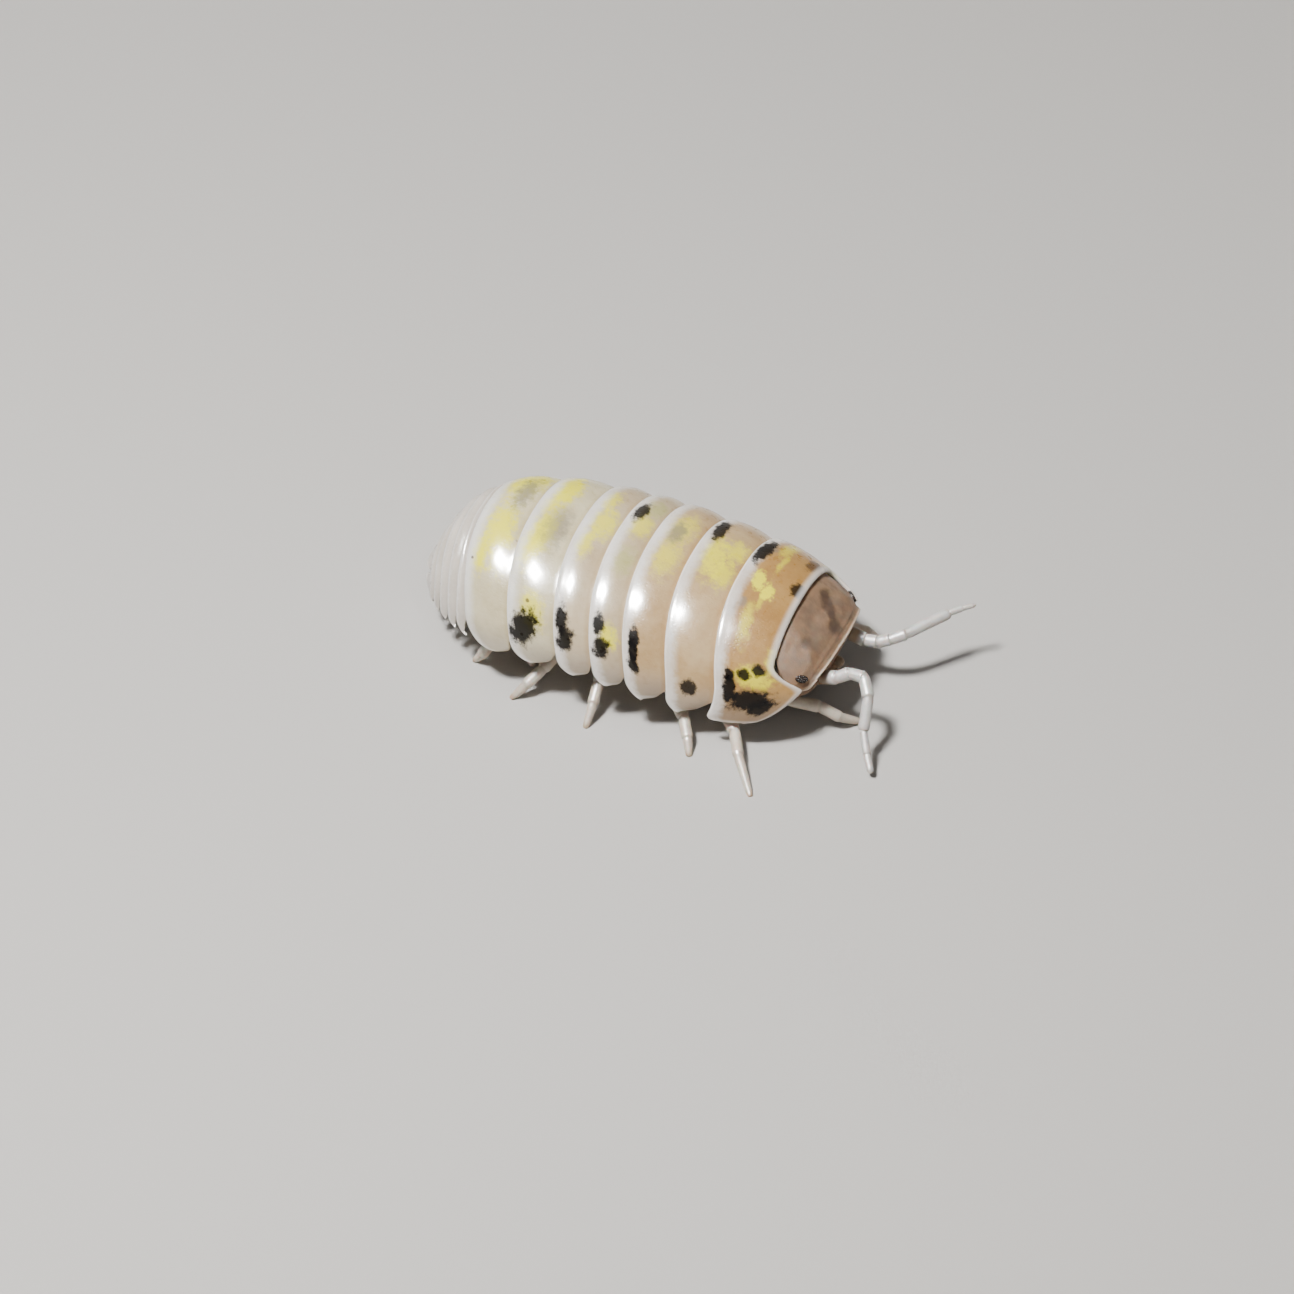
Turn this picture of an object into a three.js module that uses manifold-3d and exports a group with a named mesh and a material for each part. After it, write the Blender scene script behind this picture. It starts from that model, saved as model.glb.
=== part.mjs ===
// A pill woodlouse at life size, walking with its feelers spread.
// Millimetres, +Z up. The head points along +X, the animal's left is +Y, and the floor is Z = 0.
import * as THREE from "three";
import { mergeVertices } from "three/addons/utils/BufferGeometryUtils.js";
import Module from "manifold-3d";

const wasm = await Module();
wasm.setup();

// Driving dimensions
const seam = 0.2; // gap between neighbouring body parts
const fineSeam = 0.17; // gap between the short rings of the tail
const plate = 0.5; // thickness of the shell plates at their free edges
const archPower = 2.3; // how boxy the arched cross-section is; 2 is an ellipse
const lean = 0.22; // how far a plate's rear margin slants back for each millimetre of height
const rimLift = 0.07; // how far each rear rim stands proud of the next plate's front
const archSteps = 24; // faces round the arch
const edgeCrowding = 1.6; // how closely the faces crowd towards the lobes' edges
const crown = 0.05; // how far the middle of a plate bulges between its two margins
const sweepHeight = 1.6; // height above a lobe's edge up to which its rear margin sweeps back
const leastLength = 0.12; // least length of a ring from rear margin to front margin

// Colours and finishes
const shell = finish(0xd9cdb4, 0.3);
const shellPale = finish(0xdfdbd0, 0.32);
const skinTan = finish(0xb99a76, 0.4);
const limbWhite = finish(0xdcdcd8, 0.4);
const eyeBlack = finish(0x15110f, 0.15);

// A plain finish of that colour.
function finish(color, roughness) {
  return new THREE.MeshStandardMaterial({ color, roughness, metalness: 0 });
}

// The body's shape at a few stations: x, half width, top of the back, lower edge of the side lobes
const stations = [
  [-8.7, 0.6, 1.5, 1.0],
  [-8.2, 1.2, 2.55, 1.15],
  [-7.8, 1.8, 3.35, 1.25],
  [-7.2, 2.5, 4.25, 1.35],
  [-6.2, 3.25, 4.95, 1.45],
  [-4.8, 3.95, 5.35, 1.55],
  [-2.6, 4.35, 5.45, 1.75],
  [-0.6, 4.45, 5.45, 1.75],
  [1.0, 4.45, 5.4, 1.6],
  [2.6, 4.4, 5.25, 1.3],
  [4.8, 4.2, 4.9, 1.15],
  [6.4, 3.7, 4.4, 1.2],
  [7.6, 3.0, 3.75, 1.6],
  [8.6, 2.2, 3.1, 2.0],
];

// Smooth value of one column of the stations at x, by a cubic through the four nearest.
function bodyAt(x, column) {
  const last = stations.length - 1;
  const k = THREE.MathUtils.clamp(
    stations.findIndex((s) => s[0] > x) - 1,
    0,
    last - 1,
  );
  const at = (i) => stations[THREE.MathUtils.clamp(i, 0, last)];
  const [a, b, c, d] = [at(k - 1), at(k), at(k + 1), at(k + 2)];
  const span = c[0] - b[0];
  const t = THREE.MathUtils.clamp((x - b[0]) / span, 0, 1);
  const slopeB = (c[column] - a[column]) / (c[0] - a[0]);
  const slopeC = (d[column] - b[column]) / (d[0] - b[0]);
  const [t2, t3] = [t * t, t * t * t];
  return (
    (2 * t3 - 3 * t2 + 1) * b[column] +
    (t3 - 2 * t2 + t) * span * slopeB +
    (3 * t2 - 2 * t3) * c[column] +
    (t3 - t2) * span * slopeC
  );
}
const halfWidth = (x) => bodyAt(x, 1);
const backTop = (x) => bodyAt(x, 2);
const lobeEdge = (x) => bodyAt(x, 3);

// Angle from the top of the arch, for a place across the body from -1 (right edge) to 1 (left edge).
// The steps crowd towards the edges, where the side lobes are round.
function archAngle(across) {
  const crowd = 1 - Math.pow(1 - Math.abs(across), edgeCrowding);
  return (Math.sign(across) * crowd * Math.PI) / 2;
}

// Point on the arch at station x, grown outwards by lift.
function archPoint(x, across, lift = 0) {
  const angle = archAngle(across);
  const s = Math.sin(angle);
  const c = Math.cos(angle);
  const bend = 2 / archPower;
  const low = lobeEdge(x);
  const y = Math.sign(s) * Math.pow(Math.abs(s), bend) * (halfWidth(x) + lift);
  const rise = Math.pow(Math.abs(c), bend);
  const z = low + rise * (backTop(x) + lift - low);
  return new THREE.Vector3(x, y, z);
}

// Closed solid between an outer and an inner sheet, both given as functions of (row, column).
function sheetSolid(rows, columns, outer, inner) {
  const points = [];
  const index = [];
  const wide = columns + 1;
  const outerAt = (r, c) => r * wide + c;
  const innerAt = (r, c) => (rows + 1) * wide + r * wide + c;
  for (const sheet of [outer, inner])
    for (let r = 0; r <= rows; r++)
      for (let c = 0; c <= columns; c++) points.push(...sheet(r, c).toArray());
  const quad = (a, b, c, d) => index.push(a, b, c, a, c, d);
  for (let r = 0; r < rows; r++)
    for (let c = 0; c < columns; c++) {
      quad(outerAt(r, c), outerAt(r, c + 1), outerAt(r + 1, c + 1), outerAt(r + 1, c));
      quad(innerAt(r, c), innerAt(r + 1, c), innerAt(r + 1, c + 1), innerAt(r, c + 1));
    }
  for (let c = 0; c < columns; c++) {
    quad(outerAt(0, c), innerAt(0, c), innerAt(0, c + 1), outerAt(0, c + 1));
    quad(outerAt(rows, c), outerAt(rows, c + 1), innerAt(rows, c + 1), innerAt(rows, c));
  }
  for (let r = 0; r < rows; r++) {
    quad(outerAt(r, 0), outerAt(r + 1, 0), innerAt(r + 1, 0), innerAt(r, 0));
    quad(outerAt(r, columns), innerAt(r, columns), innerAt(r + 1, columns), outerAt(r + 1, columns));
  }
  return closedGeometry(points, index);
}

// Indexed geometry whose faces point outwards.
function closedGeometry(points, index) {
  const geometry = new THREE.BufferGeometry();
  geometry.setAttribute("position", new THREE.Float32BufferAttribute(points, 3));
  geometry.setIndex(index);
  if (signedVolume(geometry) < 0) index.reverse();
  geometry.setIndex(index);
  geometry.computeVertexNormals();
  return geometry;
}

// Volume of an indexed geometry, negative where its faces point inwards.
function signedVolume(geometry) {
  const p = geometry.attributes.position;
  const i = geometry.index.array;
  const [a, b, c] = [new THREE.Vector3(), new THREE.Vector3(), new THREE.Vector3()];
  let sum = 0;
  for (let k = 0; k < i.length; k += 3) {
    a.fromBufferAttribute(p, i[k]);
    b.fromBufferAttribute(p, i[k + 1]);
    c.fromBufferAttribute(p, i[k + 2]);
    sum += a.dot(b.cross(c)) / 6;
  }
  return sum;
}

// A geometry's shape as a manifold-3d solid.
function toSolid(geometry) {
  const bare = geometry.clone();
  bare.deleteAttribute("normal");
  bare.deleteAttribute("uv");
  const merged = mergeVertices(bare, 1e-4);
  return new wasm.Manifold(
    new wasm.Mesh({
      numProp: 3,
      vertProperties: new Float32Array(merged.attributes.position.array),
      triVerts: new Uint32Array(merged.index.array),
    }),
  );
}

// The largest piece of a manifold-3d solid, as a geometry.
function fromSolid(solid) {
  const largest = solid.decompose().sort((a, b) => b.volume() - a.volume())[0];
  const made = largest.getMesh();
  const geometry = new THREE.BufferGeometry();
  geometry.setAttribute("position", new THREE.BufferAttribute(made.vertProperties, 3));
  geometry.setIndex(new THREE.BufferAttribute(made.triVerts, 1));
  geometry.computeVertexNormals();
  return geometry;
}

function joined(...geometries) {
  return fromSolid(geometries.map(toSolid).reduce((all, next) => all.add(next)));
}

function named(name, geometry, material) {
  const mesh = new THREE.Mesh(geometry, material);
  mesh.name = name;
  return mesh;
}

// How much a lobe's corner is cut back at a height above the lobe's tip: a quarter round of that radius.
function cornerCut(height, radius) {
  if (height >= radius) return 0;
  return radius - Math.sqrt(radius * radius - (radius - height) ** 2);
}

// The underside of the body at station x: up the inside of one lobe, across the belly and down the other.
const groove = 0.62; // where the lobe's inside meets the belly, as a share of the way across
const grooveDepth = 1.25; // height of the groove above the lobe's edge, where the body is tall enough
const grooveShare = 0.4; // the most that height may be of the body's own
const lobeSlope = 0.55; // how far the lobe's inside leans in from its edge to the groove
const bellySag = 0.5; // how far the belly hangs below the grooves
function bellyPoint(x, across) {
  const side = Math.sign(across) || 1;
  const place = Math.abs(across);
  const low = lobeEdge(x);
  const inset = halfWidth(x) - plate;
  const depth = Math.min(grooveDepth, (backTop(x) - low) * grooveShare);
  if (place > groove) {
    const up = (1 - place) / (1 - groove);
    return new THREE.Vector3(x, side * (inset - lobeSlope * up), low + depth * up);
  }
  const out = place / groove;
  const sag = bellySag * (1 - out ** 4);
  return new THREE.Vector3(x, side * (inset - lobeSlope) * out, low + depth - sag);
}

// The seven segments that carry legs, head end first: the x of each rear margin at the lobe's edge,
// the radii of the lobe's front and rear lower corners, and how far the lobe sweeps back at its edge.
const pereonites = [
  { rear: 4.95, frontRound: 1.9, rearRound: 0.25, sweep: 0.6 },
  { rear: 3.05, frontRound: 0.95, rearRound: 0.5, sweep: 0.25 },
  { rear: 1.35, frontRound: 0.85, rearRound: 0.55, sweep: 0.05 },
  { rear: 0.0, frontRound: 0.6, rearRound: 0.4, sweep: 0 },
  { rear: -1.45, frontRound: 0.5, rearRound: 0.45, sweep: 0 },
  { rear: -3.4, frontRound: 0.7, rearRound: 0.6, sweep: 0 },
  { rear: -5.4, frontRound: 0.25, rearRound: 1.1, sweep: 0.2 },
];
// The five short rings of the tail, front first.
const pleonites = [
  { rear: -6.0, frontRound: 0.2, rearRound: 0.5, sweep: 0.1 },
  { rear: -6.5, frontRound: 0.1, rearRound: 0.4, sweep: 0.1 },
  { rear: -6.98, frontRound: 0.1, rearRound: 0.3, sweep: 0.1 },
  { rear: -7.42, frontRound: 0.1, rearRound: 0.25, sweep: 0.1 },
  { rear: -7.84, frontRound: 0.1, rearRound: 0.2, sweep: 0.1 },
];
const tailLean = 0.12; // the same slant for the tail's rings, which bend down

// Rear margin of a plate at a place across the body: slanted back with height, and swept back at the lobes.
function marginX(edgeX, across, slant, sweep) {
  const low = lobeEdge(edgeX);
  const height = archPoint(edgeX, across).z - low;
  const nearEdge = Math.max(0, 1 - height / sweepHeight);
  return edgeX - slant * height - sweep * nearEdge ** 2;
}

// A body ring from its rear margin to its front margin, solid inside, with round-cornered side lobes.
const broadRows = 5; // rows of faces along a ring that carries legs
const shortRows = 3; // and along a ring of the tail
function bodyRing(frontEdge, ring, slant, aheadSlant, gap, rows) {
  const across = (c) => (2 * c) / archSteps - 1;
  const span = (c) => {
    const height = archPoint(ring.rear, across(c)).z - lobeEdge(ring.rear);
    const rear = marginX(ring.rear, across(c), slant, ring.sweep) + cornerCut(height, ring.rearRound);
    const ahead = marginX(frontEdge, across(c), aheadSlant, ring.aheadSweep) - gap;
    return [rear, Math.max(ahead - cornerCut(height, ring.frontRound), rear + leastLength)];
  };
  const outer = (r, c) => {
    const t = r / rows;
    const [rear, front] = span(c);
    const lift = rimLift * (1 - 2 * t) + crown * Math.sin(Math.PI * t);
    return archPoint(THREE.MathUtils.lerp(rear, front, t), across(c), lift);
  };
  const inner = (r, c) => {
    const [rear, front] = span(c);
    return bellyPoint(THREE.MathUtils.lerp(rear, front, r / rows), across(c));
  };
  return sheetSolid(rows, archSteps, outer, inner);
}

const woodlouse = new THREE.Group();

function addRings() {
  pereonites.forEach((ring, i) => {
    if (i === 0) return;
    ring.aheadSweep = pereonites[i - 1].sweep;
    const geometry = bodyRing(pereonites[i - 1].rear, ring, lean, lean, seam, broadRows);
    woodlouse.add(named(`pereonite_${i + 1}`, geometry, i < 5 ? shell : shellPale));
  });
  let ahead = pereonites[6];
  let aheadLean = lean;
  pleonites.forEach((ring, i) => {
    ring.aheadSweep = ahead.sweep;
    const geometry = bodyRing(ahead.rear, ring, tailLean, aheadLean, fineSeam, shortRows);
    woodlouse.add(named(`pleonite_${i + 1}`, geometry, shellPale));
    ahead = ring;
    aheadLean = tailLean;
  });
}

// The first plate reaches forward on both sides of the head, and is hollow in front where the head sits.
const collarTop = 6.6; // x of its front margin on the midline
const collarTip = 7.9; // x of its front corners
const collarSide = 6.5; // x where the height of its front corners is taken
const cornerFrom = 0.4; // places across the body between which the margin reaches forward
const cornerTo = 0.66;
const headWall = 6.0; // x of the back wall of the recess for the head
const collarRim = 0.3; // least length of the plate in front of that wall
const hollowWall = [0.42, 0.28]; // the plate's thickness round the recess, at the wall and at the margin
const collarFall = 1.6; // how much faster than a ring's the plate's lift falls from the rear rim forwards
const collarCrown = 0.06;
function addCollarPlate() {
  const ring = pereonites[0];
  const share = [0, 0.3, 0.6, 0.64, 0.82, 1]; // how far along the plate each row lies, rear to front
  const wallRow = 2;
  const inHollow = (r) => (share[r] - share[wallRow]) / (1 - share[wallRow]);
  const across = (c) => (2 * c) / archSteps - 1;
  const rearAt = (c) => {
    const height = archPoint(ring.rear, across(c)).z - lobeEdge(ring.rear);
    return marginX(ring.rear, across(c), lean, ring.sweep) + cornerCut(height, ring.rearRound);
  };
  const frontAt = (c) => {
    const reach = THREE.MathUtils.smoothstep(Math.abs(across(c)), cornerFrom, cornerTo);
    const height = archPoint(collarSide, across(c)).z - lobeEdge(collarSide);
    return THREE.MathUtils.lerp(collarTop, collarTip, reach) - cornerCut(height, ring.frontRound);
  };
  const wallAt = (c) => Math.min(headWall, frontAt(c) - collarRim);
  const xAt = (r, c) =>
    r <= wallRow
      ? THREE.MathUtils.lerp(rearAt(c), wallAt(c), share[r] / share[wallRow])
      : THREE.MathUtils.lerp(wallAt(c), frontAt(c), inHollow(r));
  const outer = (r, c) => {
    const lift = rimLift * (1 - collarFall * share[r]) + collarCrown * Math.sin(Math.PI * share[r]);
    return archPoint(xAt(r, c), across(c), lift);
  };
  const inner = (r, c) => {
    if (r <= wallRow) return bellyPoint(xAt(r, c), across(c));
    return archPoint(xAt(r, c), across(c), -THREE.MathUtils.lerp(...hollowWall, inHollow(r)));
  };
  woodlouse.add(named("pereonite_1", sheetSolid(share.length - 1, archSteps, outer, inner), shell));
}

// A piece of the body's surface with its own thickness, between two places across the body.
const tailThickness = 0.45;
const tailLift = 0.03; // how far it stands out from the body's form
function tailPiece(name, from, to, frontX, rearX, steps) {
  const place = (c) => THREE.MathUtils.lerp(from, to, c / steps);
  const rows = shortRows;
  const at = (r, c) => THREE.MathUtils.lerp(rearX(place(c)), frontX(place(c)), r / rows);
  const outer = (r, c) => archPoint(at(r, c), place(c), tailLift);
  const inner = (r, c) => archPoint(at(r, c), place(c), -tailThickness);
  woodlouse.add(named(name, sheetSolid(rows, steps, outer, inner), shellPale));
}

// The end of the tail: the telson on the midline with the flat tail feet on both sides of it.
const telsonEnd = -8.62; // x of the telson's tip
const telsonRound = 0.25; // how much further forward its corners are
const telsonReach = 0.5; // the telson's half width as a place across the body
const tailFootEnd = -8.42; // x of a tail foot's inner rear corner
const tailFootSlant = 0.5; // how far forward its rear edge runs across the body
const tailFootFrom = 0.6; // a tail foot's inner and outer edges, as places across the body
const tailFootTo = 0.97;
function addTailEnd() {
  const last = pleonites[pleonites.length - 1];
  const front = (place) => marginX(last.rear, place, tailLean, last.sweep) - fineSeam;
  const rear = (place) => telsonEnd + telsonRound * (place / telsonReach) ** 2;
  const footRear = (place) => tailFootEnd + tailFootSlant * (Math.abs(place) - tailFootFrom);
  tailPiece("telson", -telsonReach, telsonReach, front, rear, 8);
  tailPiece("uropod_right", -tailFootTo, -tailFootFrom, front, footRear, 4);
  tailPiece("uropod_left", tailFootFrom, tailFootTo, front, footRear, 4);
}

// An ellipsoid with its middle at a point, tipped head down first and then turned on the floor plane.
function ellipsoid(at, half, turn = 0, tip = 0, around = 12, down = 8) {
  const geometry = new THREE.SphereGeometry(1, around, down);
  geometry.scale(...half);
  geometry.rotateY(tip);
  geometry.rotateZ(turn);
  return geometry.translate(...at);
}

// The overlapping plates under the tail, in pairs joined along the middle, each pair further back, lower
// and narrower than the one ahead.
const gill = {
  pairs: 4,
  x: -5.75,
  z: 1.8,
  reach: 1.25,
  pitch: 0.4,
  drop: 0.13,
  narrowing: 0.14,
  middle: 0.55, // distance of a plate's middle from the midline, as a share of its reach
  half: [0.5, 0.62, 0.2], // half length, half width as a share of the reach, half thickness
  tip: 0.3,
};
function addPleopods() {
  const plates = [];
  const [long, wide, thick] = gill.half;
  for (let i = 0; i < gill.pairs; i++) {
    const reach = gill.reach - gill.narrowing * i;
    for (const side of [-1, 1]) {
      const at = [gill.x - gill.pitch * i, side * reach * gill.middle, gill.z - gill.drop * i];
      plates.push(ellipsoid(at, [long, reach * wide, thick], 0, gill.tip, 10, 6));
    }
  }
  woodlouse.add(named("pleopods", joined(...plates), limbWhite));
}

// The head, lofted across the body: one side profile (x, z), shrunk towards each cheek.
const headHalf = 2.3; // half width
const headCentre = [7.35, 2.45]; // x and z that the profile shrinks to
const headPower = 2.8; // how boxy the head is seen from above; 2 is an ellipse
const headSteps = 14; // strips across the head
const cheekCap = 1.06; // how much the cheeks' flat ends are cut off; 1 is none
const headProfile = [
  [6.25, 3.55],
  [6.7, 3.72],
  [7.3, 3.5],
  [7.85, 3.1],
  [8.14, 2.88],
  [8.18, 2.7],
  [7.98, 2.45],
  [7.92, 2.0],
  [7.75, 1.55],
  [7.35, 1.35],
  [6.8, 1.35],
  [6.3, 1.7],
  [6.22, 2.6],
];
function addHead() {
  const points = [];
  const index = [];
  const n = headProfile.length;
  for (let k = 0; k <= headSteps; k++) {
    const place = Math.sin(((k / headSteps - 0.5) * Math.PI) / cheekCap);
    const size = Math.pow(1 - Math.pow(Math.abs(place), headPower), 1 / headPower);
    for (const [x, z] of headProfile)
      points.push(
        headCentre[0] + (x - headCentre[0]) * size,
        place * headHalf,
        headCentre[1] + (z - headCentre[1]) * size,
      );
  }
  for (let k = 0; k < headSteps; k++)
    for (let i = 0; i < n; i++) {
      const [a, b] = [k * n + i, k * n + ((i + 1) % n)];
      index.push(a, b, b + n, a, b + n, a + n);
    }
  capEnds(points, index, n, headSteps);
  woodlouse.add(named("head", closedGeometry(points, index), skinTan));
}

// Closes a tube of rings with a fan from a centre point at each end.
function capEnds(points, index, n, steps) {
  for (const [ring, flip] of [
    [0, false],
    [steps, true],
  ]) {
    const centre = [0, 0, 0];
    for (let i = 0; i < n; i++)
      for (let axis = 0; axis < 3; axis++) centre[axis] += points[(ring * n + i) * 3 + axis] / n;
    const hub = points.length / 3;
    points.push(...centre);
    for (let i = 0; i < n; i++) {
      const [a, b] = [ring * n + i, ring * n + ((i + 1) % n)];
      index.push(...(flip ? [hub, a, b] : [hub, b, a]));
    }
  }
}

// The eyes on the cheeks, and the jaws below the head: a leaf on each side and a lip in front of them.
const eye = { x: 7.45, out: 2.5, z: 2.75, half: [0.27, 0.11, 0.2], tip: 0.5 };
const jawLeaf = { x: 7.3, out: 0.42, z: 1.0, half: [0.6, 0.45, 0.16], turn: 0.1 };
const lip = { at: [7.85, 0, 1.15], half: [0.3, 0.5, 0.2] };
function addFace() {
  const leaf = (side) => {
    const at = [jawLeaf.x, side * jawLeaf.out, jawLeaf.z];
    return ellipsoid(at, jawLeaf.half, side * jawLeaf.turn);
  };
  for (const [name, side] of [
    ["eye_right", -1],
    ["eye_left", 1],
  ]) {
    const at = [eye.x, side * eye.out, eye.z];
    woodlouse.add(named(name, ellipsoid(at, eye.half, 0, eye.tip), eyeBlack));
  }
  const jaws = joined(leaf(-1), leaf(1), ellipsoid(lip.at, lip.half));
  woodlouse.add(named("mouthparts", jaws, skinTan));
}

// A limb of straight articles through the given joints: each joint is [x, y, z, radius], and each article
// is thickest along its middle and pinched where it meets the next.
const articleRings = [
  [0.28, 1.0], // a ring's share of the way along its article, and its swelling
  [0.78, 1.02],
];
function limb(joints, sides, pinch, endFlat) {
  const at = joints.map((j) => new THREE.Vector3(j[0], j[1], j[2]));
  const along = at.slice(1).map((p, i) => p.clone().sub(at[i]).normalize());
  const rings = [];
  joints.forEach((j, i) => {
    const before = along[Math.max(i - 1, 0)];
    const after = along[Math.min(i, along.length - 1)];
    const isEnd = i === 0 || i === joints.length - 1;
    const radius = j[3] * (isEnd ? 1 : pinch);
    rings.push({ at: at[i], axis: before.clone().add(after).normalize(), radius });
    if (i === joints.length - 1) return;
    const next = joints[i + 1][3];
    for (const [t, swell] of articleRings)
      rings.push({
        at: at[i].clone().lerp(at[i + 1], t),
        axis: along[i],
        radius: THREE.MathUtils.lerp(j[3], next, t) * swell,
      });
  });
  if (endFlat) rings[0].axis = rings[rings.length - 1].axis = new THREE.Vector3(0, 0, -1);
  return tube(rings, sides);
}

// A closed tube through the rings, each with its middle, the way it faces and its radius.
const soleEdge = 0.05; // least height of anything but the soles themselves
function tube(rings, sides) {
  const points = [];
  const index = [];
  const nearlyAlongX = Math.abs(rings[0].axis.x) > 0.95;
  const reference = nearlyAlongX ? new THREE.Vector3(0, 1, 0) : new THREE.Vector3(1, 0, 0);
  let across = reference.cross(rings[0].axis);
  for (const ring of rings) {
    across = across.clone().addScaledVector(ring.axis, -across.dot(ring.axis)).normalize();
    const up = ring.axis.clone().cross(across);
    for (let s = 0; s < sides; s++) {
      const angle = (2 * Math.PI * s) / sides;
      const p = ring.at
        .clone()
        .addScaledVector(across, ring.radius * Math.cos(angle))
        .addScaledVector(up, ring.radius * Math.sin(angle));
      if (ring !== rings[rings.length - 1]) p.z = Math.max(p.z, soleEdge);
      points.push(p.x, p.y, p.z);
    }
  }
  for (let r = 0; r < rings.length - 1; r++)
    for (let s = 0; s < sides; s++) {
      const [a, b] = [r * sides + s, r * sides + ((s + 1) % sides)];
      index.push(a, b, b + sides, a, b + sides, a + sides);
    }
  capEnds(points, index, sides, rings.length - 1);
  return closedGeometry(points, index);
}

// The feelers: joints of the five-piece stem, then of the two-piece whip, from the head outwards.
const antennae = {
  right: {
    stem: [
      [8.15, -1.5, 2.15, 0.3],
      [8.55, -1.55, 2.3, 0.27],
      [9.0, -1.4, 2.55, 0.26],
      [9.6, -1.5, 2.6, 0.26],
      [10.0, -2.05, 2.2, 0.25],
      [10.1, -2.76, 1.35, 0.22],
    ],
    whip: [
      [10.16, -2.93, 1.15, 0.17],
      [10.5, -3.44, 0.67, 0.16],
      [10.85, -3.92, 0.28, 0.08],
    ],
  },
  left: {
    stem: [
      [8.15, 1.5, 1.85, 0.3],
      [8.5, 1.5, 1.75, 0.27],
      [9.0, 1.52, 1.8, 0.26],
      [9.45, 1.65, 1.95, 0.26],
      [9.94, 2.0, 2.1, 0.25],
      [10.72, 3.12, 2.3, 0.22],
    ],
    whip: [
      [10.83, 3.27, 2.36, 0.17],
      [11.3, 3.72, 2.42, 0.16],
      [11.9, 4.15, 2.5, 0.08],
    ],
  },
};
const feelerSides = 10;
const stemPinch = 0.78; // a joint's radius as a share of the figure above
const whipPinch = 0.85;
function addAntennae() {
  for (const [side, { stem, whip }] of Object.entries(antennae)) {
    woodlouse.add(named(`antenna_${side}_stem`, limb(stem, feelerSides, stemPinch, false), limbWhite));
    woodlouse.add(named(`antenna_${side}_whip`, limb(whip, feelerSides, whipPinch, false), limbWhite));
  }
}

// The legs. Each row is the hip's x, then the knee, the point where the leg passes below the side lobe,
// a point further down and the foot on the floor, all as x and distance out from the midline (and z).
const hipOut = 2.1;
const legs = {
  right: [
    [5.3, [6.9, 2.3, 1.05], [8.1, 1.8, 0.95], [8.8, 1.5, 0.6], [9.35, 1.2]],
    [3.3, [4.3, 2.9, 1.05], [5.49, 4.1, 0.68], [6.04, 5.12, 0.5], [7.1, 6.55]],
    [1.45, [2.3, 3.0, 1.25], [3.45, 4.1, 0.72], [3.9, 4.85, 0.42], [4.15, 5.3]],
    [-0.1, [-0.1, 3.0, 1.6], [-0.1, 3.85, 1.05], [-0.02, 4.6, 0.65], [-0.04, 5.26]],
    [-1.55, [-1.9, 3.0, 1.6], [-2.35, 3.85, 1.05], [-2.8, 4.45, 0.55], [-3.26, 4.74]],
    [-3.15, [-3.05, 2.8, 1.6], [-3.1, 3.1, 1.1], [-3.2, 2.95, 0.5], [-3.3, 2.65]],
    [-4.95, [-4.8, 2.8, 1.5], [-4.75, 3.3, 1.0], [-5.05, 3.35, 0.5], [-5.4, 3.25]],
  ],
  left: [
    [5.3, [6.4, 2.6, 1.05], [7.3, 3.1, 0.75], [7.9, 3.5, 0.4], [8.4, 3.6]],
    [3.3, [3.9, 2.9, 1.1], [4.6, 4.0, 0.7], [5.2, 4.75, 0.42], [5.5, 5.3]],
    [1.45, [2.0, 3.0, 1.3], [2.3, 4.05, 0.75], [2.3, 4.85, 0.42], [2.3, 5.4]],
    [-0.1, [0.4, 3.0, 1.5], [0.7, 4.05, 0.95], [0.6, 4.9, 0.5], [0.5, 5.4]],
    [-1.55, [-1.8, 3.0, 1.6], [-2.1, 3.9, 1.0], [-2.5, 4.6, 0.55], [-2.9, 5.1]],
    [-3.15, [-3.3, 3.0, 1.6], [-3.7, 3.85, 1.0], [-4.1, 4.5, 0.55], [-4.5, 4.9]],
    [-4.95, [-5.0, 2.8, 1.35], [-5.5, 3.6, 0.85], [-6.1, 3.95, 0.45], [-6.6, 4.1]],
  ],
};
const legRadii = [0.27, 0.26, 0.25, 0.23, 0.2, 0.11]; // at the hip, thigh, knee, pass, shin and foot
const thighAlong = 0.35; // how far towards the knee the thigh's end lies, along the body and out from it
const thighOut = 0.4;
const thighDrop = 0.35; // how far below the hip it lies
const legSides = 8;
const legPinch = 0.8; // a joint's radius as a share of the figure above
function addLegs() {
  for (const [side, sign] of [
    ["right", -1],
    ["left", 1],
  ])
    legs[side].forEach(([hip, knee, pass, shin, foot], i) => {
      const joint = (p, k) => [p[0], sign * p[1], p[2] ?? 0, legRadii[k]];
      const hipZ = hipHeight(hip);
      const thigh = [
        THREE.MathUtils.lerp(hip, knee[0], thighAlong),
        THREE.MathUtils.lerp(hipOut, knee[1], thighOut),
        hipZ - thighDrop,
      ];
      const joints = [[hip, hipOut, hipZ], thigh, knee, pass, shin, foot].map(joint);
      woodlouse.add(named(`leg_${i + 1}_${side}`, limb(joints, legSides, legPinch, true), limbWhite));
    });
}

// Height of the top of a leg, a seam's width below the lowest of the belly above it.
const hipRoom = 0.1; // how much wider than the hip that part of the belly is
function hipHeight(x) {
  let lowest = Infinity;
  for (let place = 0; place <= 1; place += 0.02) {
    const p = bellyPoint(x, place);
    if (Math.abs(p.y - hipOut) < legRadii[0] + hipRoom) lowest = Math.min(lowest, p.z);
  }
  return lowest - seam;
}

addRings();
addCollarPlate();
addTailEnd();
addPleopods();
addHead();
addFace();
addAntennae();
addLegs();

const bounds = new THREE.Box3().setFromObject(woodlouse);
const middle = bounds.getCenter(new THREE.Vector3());
woodlouse.position.set(-middle.x, -middle.y, 0);

export default woodlouse;
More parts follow.
